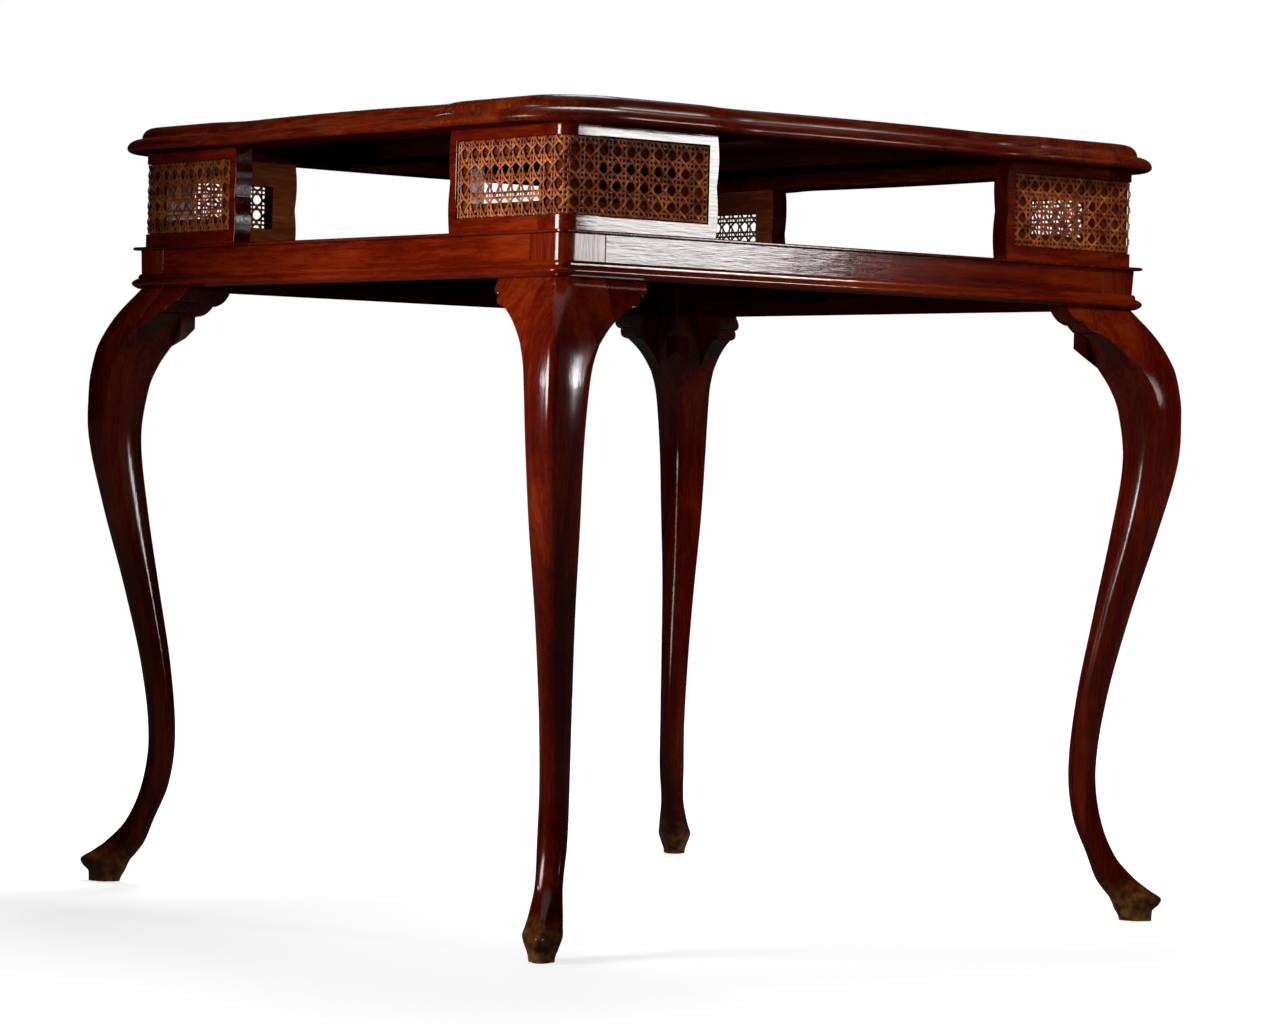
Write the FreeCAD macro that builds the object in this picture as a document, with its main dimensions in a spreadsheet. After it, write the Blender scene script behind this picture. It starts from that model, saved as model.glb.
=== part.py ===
"""Square games table: cabriole legs, a moulded frieze with a tray, four caned corner screens
and a shaped, moulded top frame with a playing panel that drops in.

Millimetres, +Z up, origin on the floor under the middle of the table. A side piece is drawn on the
front side (facing -Y) and turned about Z to its own side; a corner piece is drawn at +X +Y.
"""
import FreeCAD
import Part
import Sketcher
import math
import os

SIZES = {
    # levels, from the floor up
    "leg_height": (597.0, "floor to the underside of the frieze"),
    "frieze_height": (38.5, "height of the frieze rails"),
    "lip_thickness": (3.0, "edge of the tray board over the rails"),
    "screen_height": (93.5, "tray to the underside of the top"),
    "nose_height": (13.5, "lower member of the top's edge"),
    "ovolo_height": (11.5, "upper member of the top's edge"),
    # frieze, posts and tray
    "top_overhang": (31.0, "edge of the top at its corners beyond the frieze face"),
    "rail_thickness": (22.0, "frieze rail"),
    "post_size": (48.0, "square head of a leg"),
    "corner_round": (8.0, "outer corner of frieze and leg head"),
    "tenon_length": (20.0, "rail tenon in the leg head"),
    "tenon_thickness": (8.0, "rail tenon"),
    "tenon_shoulder": (6.0, "rail above and below its tenon"),
    "joint_gap": (0.2, "room round a tenon or tongue"),
    "bead_height": (14.5, "moulding along the foot of the frieze"),
    "bead_round_height": (10.4, "round member of that moulding"),
    "bead_base": (2.2, "flat of the moulding outside the frieze face"),
    "bead_swell": (6.6, "round member outside its flat"),
    "bead_fillet": (1.0, "flat between the two members"),
    "lip_overhang": (5.6, "tray edge beyond the frieze face"),
    "lip_corner": (7.0, "corner of the tray edge"),
    "lip_chamfer": (0.9, "eased arris of the tray edge"),
    "tray_thickness": (7.0, "tray board below the rails' top"),
    "block_length": (70.0, "glue block"),
    "block_size": (18.0, "glue block"),
    "block_from_middle": (120.0, "glue block's middle along its rail"),
    # cabriole leg: stations below the frieze (drop) or above the floor (height)
    # out is measured on the diagonal from the frieze corner, depth along the diagonal
    "swell_drop": (27.0, "first swelling under the frieze"),
    "swell_out": (25.8, "first swelling"),
    "swell_depth": (84.0, "first swelling"),
    "brow_drop": (55.0, "brow of the knee"),
    "brow_out": (42.5, "brow of the knee"),
    "brow_depth": (83.0, "brow of the knee"),
    "knee_drop": (100.0, "knee"),
    "knee_out": (52.8, "knee"),
    "knee_depth": (71.0, "knee"),
    "underknee_drop": (149.0, "below the knee"),
    "underknee_out": (51.0, "below the knee"),
    "underknee_depth": (64.6, "below the knee"),
    "calf_height": (378.0, "calf"),
    "calf_out": (35.5, "calf"),
    "calf_depth": (57.0, "calf"),
    "shin_height": (298.0, "shin"),
    "shin_out": (12.0, "shin"),
    "shin_depth": (47.2, "shin"),
    "taper_height": (218.0, "lower shin"),
    "taper_out": (-8.0, "lower shin"),
    "taper_depth": (41.2, "lower shin"),
    "ankle_height": (148.0, "ankle"),
    "ankle_out": (-16.5, "ankle"),
    "ankle_depth": (39.6, "ankle"),
    "heel_height": (100.0, "above the heel"),
    "heel_out": (-11.0, "above the heel"),
    "heel_depth": (39.6, "above the heel"),
    "instep_height": (62.0, "instep"),
    "instep_out": (4.0, "instep"),
    "instep_depth": (39.5, "instep"),
    "instep_width": (37.5, "instep, across"),
    "arch_height": (40.0, "arch of the foot"),
    "arch_out": (21.8, "arch of the foot"),
    "arch_depth": (48.0, "arch of the foot"),
    "arch_width": (41.5, "arch of the foot, across"),
    "toe_height": (20.0, "upper edge of the toe"),
    "toe_out": (46.5, "point of the toe"),
    "toe_depth": (59.0, "length of the foot"),
    "toe_width": (47.5, "width of the foot"),
    "sole_height": (13.5, "lower edge of the toe"),
    "sole_depth": (54.6, "length of the sole's edge"),
    "sole_width": (42.5, "width of the sole's edge"),
    "pad_height": (6.0, "pad under the foot"),
    "pad_inset": (8.0, "pad behind the point of the toe"),
    "pad_depth": (42.6, "length of the pad"),
    "pad_width": (34.0, "width of the pad"),
    "tread_inset": (9.0, "floor's edge of the pad behind the point of the toe"),
    "tread_depth": (38.0, "length of the pad on the floor"),
    "tread_width": (31.5, "width of the pad on the floor"),
    "knee_round": (9.0, "front and back arris of the knee"),
    "knee_side_round": (16.0, "side corners of the knee"),
    "shin_round": (12.4, "corners of the shin"),
    "ankle_round": (13.8, "ankle"),
    "foot_round": (7.0, "front of the foot"),
    "tread_round": (9.0, "corners of the pad"),
    "seat_round": (1.2, "corners of the leg where brackets are glued on"),
    "brow_back_round": (3.6, "back arris at the brow of the knee"),
    # knee bracket
    "bracket_reach": (96.0, "frieze corner to the tip of a knee bracket"),
    "bracket_thickness": (25.0, "knee bracket, front to back"),
    "bracket_setback": (0.8, "knee bracket behind the knee's face"),
    "tip_edge": (1.0, "flat edge of the tip"),
    "tip_length": (12.0, "small lobe at the tip"),
    "tip_drop": (14.0, "small lobe at the tip"),
    "lobe_length": (16.0, "second lobe"),
    "lobe_drop": (22.0, "second lobe below the frieze"),
    "lobe_nick": (1.5, "nick between the lobes"),
    "ear_swell": (3.6, "lobes of the bracket outside a straight line"),
    "ear_hollow": (5.0, "hollow of the bracket inside a straight line"),
    "bracket_drop": (68.0, "foot of the bracket on the leg"),
    "bracket_run": (50.0, "hollow of the bracket, along the rail"),
    # caned corner screens
    "screen_setback": (1.5, "screen behind the frieze face"),
    "plank_thickness": (19.0, "screen plank"),
    "screen_reach": (174.0, "corner of a screen to its free end"),
    "screen_post": (38.0, "corner post of a screen"),
    "screen_round": (14.0, "outer corner of the screen post"),
    "scallop_rise": (2.0, "each lobe of the free end"),
    "scallop_foot": (46.5, "tray to the notch between the lobes"),
    "stile_width": (11.5, "free end to the cane's rebate"),
    "foot_rail": (13.0, "tray to the cane's rebate"),
    "head_rail": (10.0, "cane's rebate to the top"),
    "rebate_depth": (3.6, "cane's rebate"),
    "cane_thickness": (1.6, "woven cane"),
    "cane_gap": (0.3, "cane to the edge of its rebate"),
    "ledge_height": (19.0, "wood behind the cane, above and below the window"),
    "ledge_free_end": (18.0, "wood behind the cane at the free end"),
    "ledge_post_end": (4.0, "wood behind the cane beside the post"),
    "cane_pitch": (15.5, "from gap to gap of the cane"),
    "cane_hole": (9.0, "gap of the cane, across flats"),
    "screen_tenon_width": (40.0, "tenon of a screen plank"),
    "screen_tenon_thickness": (8.0, "tenon of a screen plank"),
    "screen_tenon_foot": (9.0, "tenon of a screen plank in the frieze rail"),
    "screen_tenon_head": (9.0, "tenon of a screen plank in the top frame"),
    "screen_tenon_from_corner": (105.0, "middle of the tenon from the screen's corner"),
    # top
    "top_half": (384.0, "middle of the table to the edge of the top at its corners"),
    "top_corner_radius": (78.0, "corner of the top's edge"),
    "shoulder_from_edge": (169.0, "edge of the top to where a corner starts to draw in"),
    "hollow_from_edge": (229.0, "edge of the top to the deepest place of the hollow"),
    "shoulder_rise": (9.0, "corner outside the hollow"),
    "hollow_radius": (100.0, "hollow of the top's edge"),
    "bow_depth": (7.5, "middle of a side outside the hollow"),
    "corner_length": (181.0, "edge of the top to the joint of side and corner"),
    "frame_width": (53.0, "edge of the top at its corners to the inside of the top frame"),
    "nose_depth": (14.5, "projection of the lower member"),
    "nose_tip": (4.4, "underside to the point of the lower member"),
    "nose_under": (5.5, "rounding under the lower member"),
    "ovolo_depth": (11.0, "projection of the upper member"),
    "ovolo_step": (0.9, "step under the upper member"),
    "panel_thickness": (10.8, "playing panel"),
    "panel_rebate": (8.0, "ledge that carries the panel"),
    "panel_gap": (0.4, "room round the panel"),
    "baize_border": (44.0, "wood round the baize"),
    "baize_thickness": (1.0, "baize"),
    "bearer_outer": (180.0, "middle of the table to a bearer's outer edge"),
    "bearer_width": (60.0, "bearer"),
    "bearer_tenon": (8.0, "bearer's tenon in the top frame"),
    "bearer_shoulder": (3.4, "bearer above and below its tenon"),
    "bearer_tenon_side": (10.0, "bearer beside its tenon"),
    "tongue_length": (20.0, "loose tongue across a joint of the top frame"),
    "tongue_width": (24.0, "loose tongue"),
    "tongue_thickness": (5.0, "loose tongue"),
    "tongue_inset": (16.0, "frame's inside to the tongue"),
}

ROOT2 = math.sqrt(2.0)
CUT_MARGIN = 2.0        # how far a cutting profile reaches past the wood
EDGE_SPARE = 1.0        # wood left outside the top's edge until it is moulded
LEG_FLAT_COUNT = 12     # flats round a leg section
OVOLO_FLAT_COUNT = 2    # flats along a quarter of a moulding's oval
BEAD_FLAT_COUNT = 4     # flats along the frieze bead
EAR_FLAT_COUNT = 4      # flats along a lobe or hollow of a knee bracket
SMALL_BEAD_COUNT = 2    # flats along the small round over the bead
BRACKET_ROW_COUNT = 7   # leg sections that a knee bracket follows
CANE_GAP_SIDE_COUNT = 8  # sides of one gap of the cane
TOUCHING = 0.001        # places closer than this are one place
SIDES = {"front": 0, "right": 90, "back": 180, "left": 270}
SIDE_ENDS = {"front": ("left", "right"), "right": ("front", "back"),
             "back": ("right", "left"), "left": ("back", "front")}
CORNERS = {"back_right": 0, "back_left": 90, "front_left": 180, "front_right": 270}

doc = FreeCAD.newDocument("games_table")
sheet = doc.addObject("Spreadsheet::Sheet", "Sizes")
nodes = []


class Size:
    """A number together with the sheet formula that gives it."""

    def __init__(self, number, formula):
        self.number = float(number)
        self.formula = formula

    def __float__(self):
        return self.number

    def __neg__(self):
        return Size(-self.number, f"(-1 * {self.formula})")

    def __add__(self, other):
        other = as_size(other)
        return Size(self.number + other.number, f"({self.formula} + {other.formula})")

    def __sub__(self, other):
        other = as_size(other)
        return Size(self.number - other.number, f"({self.formula} - {other.formula})")

    def __mul__(self, other):
        other = as_size(other)
        return Size(self.number * other.number, f"({self.formula} * {other.formula})")

    def __truediv__(self, other):
        other = as_size(other)
        return Size(self.number / other.number, f"({self.formula} / {other.formula})")

    def __radd__(self, other):
        return as_size(other) + self

    def __rsub__(self, other):
        return as_size(other) - self

    def __rmul__(self, other):
        return as_size(other) * self


def as_size(value):
    return value if isinstance(value, Size) else Size(value, repr(float(value)))


def root(value):
    return Size(math.sqrt(value.number), f"sqrt({value.formula})")


class Named:
    """The sheet's named sizes, as attributes."""


def fill_sheet():
    named = Named()
    for row, (name, (number, note)) in enumerate(SIZES.items(), start=1):
        sheet.set(f"A{row}", note)
        sheet.set(f"B{row}", str(number))
        sheet.setAlias(f"B{row}", name)
        setattr(named, name, Size(number, f"Sizes.{name}"))
    doc.recompute()
    return named


s = fill_sheet()

# Levels and planes that several pieces share
FRIEZE_FACE = s.top_half - s.top_overhang
FRAME_INSIDE = s.top_half - s.frame_width
SHOULDER_AT = s.top_half - s.shoulder_from_edge
HOLLOW_AT = s.top_half - s.hollow_from_edge
JOINT_AT = s.top_half - s.corner_length
FRIEZE_FOOT = s.leg_height
FRIEZE_HEAD = s.leg_height + s.frieze_height
TRAY_TOP = FRIEZE_HEAD + s.lip_thickness
TOP_FOOT = TRAY_TOP + s.screen_height
TOP_THICKNESS = s.nose_height + s.ovolo_height
TOP_FACE = TOP_FOOT + TOP_THICKNESS
PANEL_FOOT = TOP_FACE - s.panel_thickness
RAIL_INSIDE = FRIEZE_FACE - s.rail_thickness
POST_INSIDE = FRIEZE_FACE - s.post_size
SCREEN_FACE = FRIEZE_FACE - s.screen_setback
SCREEN_END = SCREEN_FACE - s.screen_reach
SCREEN_POST_SIDE = SCREEN_FACE - s.screen_post
CANE_BACK = SCREEN_FACE - s.rebate_depth
CANE_FOOT = TRAY_TOP + s.foot_rail
CANE_HEAD = TOP_FOOT - s.head_rail
SCREEN_TENON_MIDDLE = SCREEN_FACE - s.screen_tenon_from_corner
SCREEN_TENON_NEAR = SCREEN_TENON_MIDDLE - s.screen_tenon_width / 2
SCREEN_TENON_FAR = SCREEN_TENON_MIDDLE + s.screen_tenon_width / 2
SCREEN_TENON_FACE = SCREEN_FACE - (s.plank_thickness - s.screen_tenon_thickness) / 2
SCREEN_TENON_BACK = SCREEN_TENON_FACE - s.screen_tenon_thickness
TENON_FACE = FRIEZE_FACE - (s.rail_thickness - s.tenon_thickness) / 2
TENON_BACK = TENON_FACE - s.tenon_thickness
TENON_FOOT = FRIEZE_FOOT + s.tenon_shoulder
TENON_HEAD = FRIEZE_HEAD - s.tenon_shoulder
PANEL_EDGE = FRAME_INSIDE + s.panel_rebate


def turned(angle):
    return FreeCAD.Placement(FreeCAD.Vector(), FreeCAD.Rotation(FreeCAD.Vector(0, 0, 1), angle))


def new_body(label, angle=0):
    body = doc.addObject("PartDesign::Body", label)
    body.Label = label
    body.Placement = turned(angle)
    return body


def keep(piece, label):
    """Lists a finished piece under its node name."""
    piece.Label = label
    nodes.append(piece)
    return piece


def new_sketch(body, role, offset=0.0):
    plane = next(item for item in body.Origin.OriginFeatures if item.Role == role)
    sketch = body.newObject("Sketcher::SketchObject", f"{body.Name}_sketch")
    sketch.AttachmentSupport = (plane, "")
    sketch.MapMode = "FlatFace"
    sketch.setExpression("AttachmentOffset.Base.z", as_size(offset).formula)
    return sketch


def vector(x, y):
    return FreeCAD.Vector(float(x), float(y), 0)


def arc_between(start, end, radius, turn):
    """Smaller arc from start to end; turn +1 keeps its centre on the left, -1 on the right."""
    chord = end - start
    left = FreeCAD.Vector(-chord.y, chord.x, 0).normalize()
    reach = math.sqrt(max(radius ** 2 - (chord.Length / 2) ** 2, 0.0))
    centre = (start + end) * 0.5 + left * (turn * reach)
    first, last = (start, end) if turn > 0 else (end, start)
    angles = [math.atan2(p.y - centre.y, p.x - centre.x) for p in (first, last)]
    if angles[1] < angles[0]:
        angles[1] += 2 * math.pi
    circle = Part.Circle(centre, FreeCAD.Vector(0, 0, 1), radius)
    return Part.ArcOfCircle(circle, *angles)


def draw(sketch, corners, closed=True):
    """Draws an outline whose corners are tied to the sheet. A corner is (x, y), or (x, y, radius, turn)
    where the stretch to the next corner is an arc. An open outline ends at its last corner."""
    count = len(corners) if closed else len(corners) - 1
    ends = []
    for index in range(count):
        corner, after = corners[index], corners[(index + 1) % len(corners)]
        start, end = vector(*corner[:2]), vector(*after[:2])
        if len(corner) == 2:
            edge = sketch.addGeometry(Part.LineSegment(start, end), False)
            ends.append((edge, 1, 2))
            continue
        radius, turn = corner[2:]
        edge = sketch.addGeometry(arc_between(start, end, float(radius), turn), False)
        ends.append((edge, 1, 2) if turn > 0 else (edge, 2, 1))
        rule = sketch.addConstraint(Sketcher.Constraint("Radius", edge, float(radius)))
        sketch.setExpression(f"Constraints[{rule}]", as_size(radius).formula)
    for index in range(count if closed else count - 1):
        edge, _, last = ends[index]
        after, first, _ = ends[(index + 1) % count]
        sketch.addConstraint(Sketcher.Constraint("Coincident", edge, last, after, first))
    for index, corner in enumerate(corners):
        edge, point = (ends[index][0], ends[index][1]) if index < count else (ends[-1][0], ends[-1][2])
        for kind, place in zip(("DistanceX", "DistanceY"), corner[:2]):
            rule = sketch.addConstraint(Sketcher.Constraint(kind, -1, 1, edge, point, float(place)))
            sketch.setExpression(f"Constraints[{rule}]", as_size(place).formula)
    return sketch


def rectangle(sketch, x_low, x_high, y_low, y_high):
    return draw(sketch, [(x_low, y_low), (x_high, y_low), (x_high, y_high), (x_low, y_high)])


def feature(body, kind, sketch, length, reversed_way=False, both_ways=False):
    made = body.newObject(f"PartDesign::{kind}", f"{body.Name}_{kind.lower()}")
    made.Profile = sketch
    made.setExpression("Length", as_size(length).formula)
    made.Reversed = reversed_way
    made.Midplane = both_ways
    body.Tip = made
    return made


def pad(body, sketch, length, reversed_way=False, both_ways=False):
    return feature(body, "Pad", sketch, length, reversed_way, both_ways)


def pocket(body, sketch, length, reversed_way=False, both_ways=False):
    return feature(body, "Pocket", sketch, length, reversed_way, both_ways)


def revolve(body, sketch, axis_x, angle, reversed_way):
    """Turns a profile about an upright line of its own sketch."""
    line = Part.LineSegment(vector(axis_x, 0), vector(axis_x, 1))
    edge = sketch.addGeometry(line, True)
    sketch.addConstraint(Sketcher.Constraint("Vertical", edge))
    rule = sketch.addConstraint(Sketcher.Constraint("DistanceX", -1, 1, edge, 1, float(axis_x)))
    sketch.setExpression(f"Constraints[{rule}]", as_size(axis_x).formula)
    made = body.newObject("PartDesign::Revolution", f"{body.Name}_turn")
    made.Profile = sketch
    made.ReferenceAxis = (sketch, ["Axis0"])
    made.Angle = angle
    made.Reversed = reversed_way
    body.Tip = made
    return made


def make_box(name, x_low, x_high, y_low, y_high, z_low, z_high):
    box = doc.addObject("Part::Box", name)
    for size, low, high in (("Length", x_low, x_high), ("Width", y_low, y_high), ("Height", z_low, z_high)):
        box.setExpression(size, as_size(high - low).formula)
    for axis, low in (("x", x_low), ("y", y_low), ("z", z_low)):
        box.setExpression(f"Placement.Base.{axis}", as_size(low).formula)
    return box


def quarter_turns(angle, x, y):
    """A place on the front side, carried round to another side."""
    for _ in range(angle // 90):
        x, y = -y, x
    return x, y


def side_box(name, angle, x_low, x_high, y_low, y_high, z_low, z_high):
    first, last = quarter_turns(angle, x_low, y_low), quarter_turns(angle, x_high, y_high)
    across = sorted((first[0], last[0]), key=float)
    along = sorted((first[1], last[1]), key=float)
    return make_box(name, *across, *along, z_low, z_high)


# Cabriole legs

def leg_rows():
    """Sections of a leg from the frieze down to the toe: height, out, depth, width, and the rounding of
    the front, the side and the back corners.
    Between two named stations one more lies on the smooth curve through them."""
    foot, head = FRIEZE_FOOT, s.post_size * ROOT2
    stations = [
        (foot, 0.0, head, head, s.corner_round, s.seat_round, s.seat_round),
        (foot - s.swell_drop, s.swell_out, s.swell_depth, s.swell_depth,
         s.knee_round, s.seat_round, s.seat_round),
        (foot - s.brow_drop, s.brow_out, s.brow_depth, s.brow_depth,
         s.knee_round, s.knee_side_round, s.brow_back_round),
        (foot - s.knee_drop, s.knee_out, s.knee_depth, s.knee_depth,
         s.knee_round, s.knee_side_round, s.knee_round),
        (foot - s.underknee_drop, s.underknee_out, s.underknee_depth, s.underknee_depth,
         s.knee_round, s.knee_side_round, s.shin_round),
        (s.calf_height, s.calf_out, s.calf_depth, s.calf_depth,
         s.shin_round, s.shin_round, s.shin_round),
        (s.shin_height, s.shin_out, s.shin_depth, s.shin_depth,
         s.shin_round, s.shin_round, s.shin_round),
        (s.taper_height, s.taper_out, s.taper_depth, s.taper_depth,
         s.shin_round, s.shin_round, s.shin_round),
        (s.ankle_height, s.ankle_out, s.ankle_depth, s.ankle_depth,
         s.ankle_round, s.ankle_round, s.ankle_round),
        (s.heel_height, s.heel_out, s.heel_depth, s.heel_depth,
         s.ankle_round, s.ankle_round, s.ankle_round),
        (s.instep_height, s.instep_out, s.instep_depth, s.instep_width,
         s.shin_round, s.ankle_round, s.ankle_round),
        (s.arch_height, s.arch_out, s.arch_depth, s.arch_width,
         s.foot_round, s.shin_round, s.shin_round),
        (s.toe_height, s.toe_out, s.toe_depth, s.toe_width,
         s.foot_round, s.shin_round, s.shin_round),
    ]
    named = [[float(value) for value in row] for row in stations]
    last = len(named) - 1
    rows = []
    for index, row in enumerate(named[:-1]):
        rows += [row, between(named[max(index - 1, 0)], row, named[index + 1], named[min(index + 2, last)])]
    return rows + [named[-1]]


def between(before, start, end, after):
    """Half-way section of the smooth curve through four stations."""

    def slope(first, second, column):
        return (second[column] - first[column]) / (second[0] - first[0])

    drop = end[0] - start[0]
    middle = [(start[0] + end[0]) / 2]
    for column in range(1, len(start)):
        bend = slope(before, end, column) - slope(start, after, column)
        middle.append((start[column] + end[column]) / 2 + bend * drop / 8)
    return middle


def leg_outline(out, depth, width, round_out, round_side, round_back):
    """Corners of a leg section, laid on the diagonal of the corner at +X +Y: a square whose roundings are
    cut in flats. out is measured from the frieze corner, depth along the diagonal, width across it."""
    tip = float(FRIEZE_FACE) * ROOT2 + out
    side = width / 2 - round_side * ROOT2
    middle = tip - depth / 2
    rounds = [(tip - round_out * ROOT2, 0, round_out), (middle, side, round_side),
              (tip - depth + round_back * ROOT2, 0, round_back), (middle, -side, round_side)]
    step = 2 * math.pi / LEG_FLAT_COUNT
    reach = [max(((u - v) * math.cos(k * step) + (u + v) * math.sin(k * step)) / ROOT2 + radius
                 for u, v, radius in rounds) for k in range(LEG_FLAT_COUNT)]
    corners = []
    for k in range(LEG_FLAT_COUNT):
        here, after = reach[k], reach[(k + 1) % LEG_FLAT_COUNT]
        start, end = k * step, (k + 1) * step
        corners.append(((here * math.sin(end) - after * math.sin(start)) / math.sin(step),
                        (after * math.cos(start) - here * math.cos(end)) / math.sin(step)))
    return corners


def flat_sided(rings):
    """Solid whose flat faces join each ring of corners to the next, closed by the first and last ring."""
    outlines = [rings[0], rings[-1]]
    for ring, after in zip(rings, rings[1:]):
        outlines += [[ring[k - 1], ring[k], after[k], after[k - 1]] for k in range(len(ring))]
    shell = Part.makeShell([Part.Face(Part.makePolygon(outline + outline[:1])) for outline in outlines])
    shell.sewShape()
    solid = Part.makeSolid(shell)
    return solid if solid.Volume > 0 else solid.reversed()


def make_leg(corner, angle):
    """Leg shaped from the square post at its head down to the pad on the floor, mortised for two rails."""
    rows = leg_rows()
    rows.insert(0, [float(FRIEZE_HEAD), *rows[0][1:]])
    under_toe = [
        (s.sole_height, s.toe_out, s.sole_depth, s.sole_width,
         s.foot_round, s.shin_round, s.shin_round),
        (s.pad_height, s.toe_out - s.pad_inset, s.pad_depth, s.pad_width,
         s.foot_round, s.tread_round, s.tread_round),
        (0.0, s.toe_out - s.tread_inset, s.tread_depth, s.tread_width,
         s.foot_round, s.tread_round, s.tread_round),
    ]
    rows += [[float(value) for value in row] for row in under_toe]
    rings = [[FreeCAD.Vector(x, y, height) for x, y in leg_outline(*shape)] for height, *shape in rows]
    blank = doc.addObject("Part::Feature", f"leg_{corner}_blank")
    blank.Shape = flat_sided(rings)
    blank.Placement = turned(angle)
    deep = (POST_INSIDE, POST_INSIDE + s.tenon_length + s.joint_gap)
    thick = (TENON_BACK - s.joint_gap, TENON_FACE + s.joint_gap)
    tall = (TENON_FOOT - s.joint_gap, TENON_HEAD + s.joint_gap)
    mortises = doc.addObject("Part::Compound", f"leg_{corner}_mortises")
    mortises.Links = [side_box(f"leg_{corner}_mortise", angle, *along, *across, *tall)
                      for along, across in ((deep, thick), (thick, deep))]
    leg = doc.addObject("Part::Cut", f"leg_{corner}")
    leg.Base = blank
    leg.Tool = mortises
    return keep(leg, f"leg_{corner}")


# Knee brackets

def bent(start, end, bulge, flats):
    """Places along a shallow curve from start to just before end, standing off the straight line by bulge
    at its middle: + to the right of the way it runs, - to the left."""
    run, rise = end[0] - start[0], end[1] - start[1]
    length = math.hypot(float(run), float(rise))
    places = []
    for k in range(flats):
        share = k / flats
        off = 4 * bulge * share * (1 - share) / length
        places.append((start[0] + run * share + rise * off, start[1] + rise * share - run * off))
    return places


def make_bracket(side, end, hand, leg):
    """Ear glued under the frieze beside a knee: its face carries on the knee's swelling."""
    label = f"knee_bracket_{side}_rail_{end}"
    body = new_body(f"{label}_blank", SIDES[side])
    face = [(FRIEZE_FACE + row[1] / ROOT2 - s.bracket_setback, row[0])
            for row in leg_rows()[:BRACKET_ROW_COUNT]]
    back = s.bracket_thickness
    tip = FRIEZE_FACE - s.bracket_reach
    blank = new_sketch(body, "YZ_Plane", hand * (tip - CUT_MARGIN / 2))
    draw(blank, [(-y, z) for y, z in face] + [(back - y, z) for y, z in reversed(face)])
    pad(body, blank, s.bracket_reach - s.post_size / 4, reversed_way=hand < 0)
    waste = new_sketch(body, "XZ_Plane", 0)
    nick = tip + s.tip_length
    lobe = nick + s.lobe_length
    above, under = FRIEZE_FOOT + CUT_MARGIN, FRIEZE_FOOT - s.knee_drop - CUT_MARGIN
    marks = [(tip, FRIEZE_FOOT - s.tip_edge), (nick, FRIEZE_FOOT - s.tip_drop),
             (nick + s.lobe_nick, FRIEZE_FOOT - s.tip_drop + s.lobe_nick),
             (lobe, FRIEZE_FOOT - s.lobe_drop),
             (lobe + s.bracket_run, FRIEZE_FOOT - s.bracket_drop)]
    ear = bent(marks[0], marks[1], s.ear_swell, EAR_FLAT_COUNT) + [marks[1]]
    ear += bent(marks[2], marks[3], s.ear_swell, EAR_FLAT_COUNT)
    ear += bent(marks[3], marks[4], -s.ear_hollow, EAR_FLAT_COUNT) + [marks[4]]
    outline = [(tip - CUT_MARGIN, above), (tip, above)] + ear + [
        (FRIEZE_FACE, FRIEZE_FOOT - s.bracket_drop), (FRIEZE_FACE, under), (tip - CUT_MARGIN, under)]
    draw(waste, [(hand * x, z) for x, z in outline])
    pocket(body, waste, FRIEZE_FACE * 2 + s.brow_out * 2, reversed_way=True)
    ear_piece = doc.addObject("Part::Cut", label)
    ear_piece.Base = body
    ear_piece.Tool = leg
    return keep(ear_piece, label)


# Frieze

def draw_screen_mortise(sketch, hand, way, turned_over=False):
    """Mortise of a screen plank's tenon, seen from above; turned over, it lies along Y."""
    along = sorted((hand * (SCREEN_TENON_NEAR - s.joint_gap),
                    hand * (SCREEN_TENON_FAR + s.joint_gap)), key=float)
    across = sorted((way * (SCREEN_TENON_BACK - s.joint_gap),
                     way * (SCREEN_TENON_FACE + s.joint_gap)), key=float)
    if turned_over:
        return rectangle(sketch, *across, *along)
    return rectangle(sketch, *along, *across)


def make_rail(side):
    body = new_body(f"frieze_rail_{side}", SIDES[side])
    board = new_sketch(body, "XZ_Plane", RAIL_INSIDE)
    rectangle(board, -POST_INSIDE, POST_INSIDE, FRIEZE_FOOT, FRIEZE_HEAD)
    pad(body, board, s.rail_thickness)
    tenon = new_sketch(body, "XZ_Plane", TENON_BACK)
    reach = POST_INSIDE + s.tenon_length
    rectangle(tenon, -reach, reach, TENON_FOOT, TENON_HEAD)
    pad(body, tenon, s.tenon_thickness)
    mortises = new_sketch(body, "XY_Plane", FRIEZE_HEAD)
    for hand in (-1, 1):
        draw_screen_mortise(mortises, hand, -1)
    pocket(body, mortises, s.screen_tenon_foot + s.joint_gap)
    return keep(body, body.Label)


def bead_profile(sketch):
    """Section of the frieze moulding: a round member, a narrow flat and a small round."""
    face = -FRIEZE_FACE
    flat = face - s.bead_base
    round_foot, round_head = (flat, FRIEZE_FOOT), (flat, FRIEZE_FOOT + s.bead_round_height)
    small_foot = (flat, FRIEZE_FOOT + s.bead_round_height + s.bead_fillet)
    head = (face - s.bead_fillet / 2, FRIEZE_FOOT + s.bead_height)
    return draw(sketch, [(face, FRIEZE_FOOT), (face, FRIEZE_FOOT + s.bead_height)]
                + bent(head, small_foot, s.bead_fillet / 2, SMALL_BEAD_COUNT) + [small_foot]
                + bent(round_head, round_foot, s.bead_swell, BEAD_FLAT_COUNT) + [round_foot])


def make_bead(side):
    body = new_body(f"frieze_bead_{side}", SIDES[side])
    run = FRIEZE_FACE - s.corner_round
    pad(body, bead_profile(new_sketch(body, "YZ_Plane", 0)), run * 2, both_ways=True)
    for hand in (-1, 1):
        end = bead_profile(new_sketch(body, "YZ_Plane", hand * run))
        revolve(body, end, -run, 45, reversed_way=hand < 0)
    return keep(body, body.Label)


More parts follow.
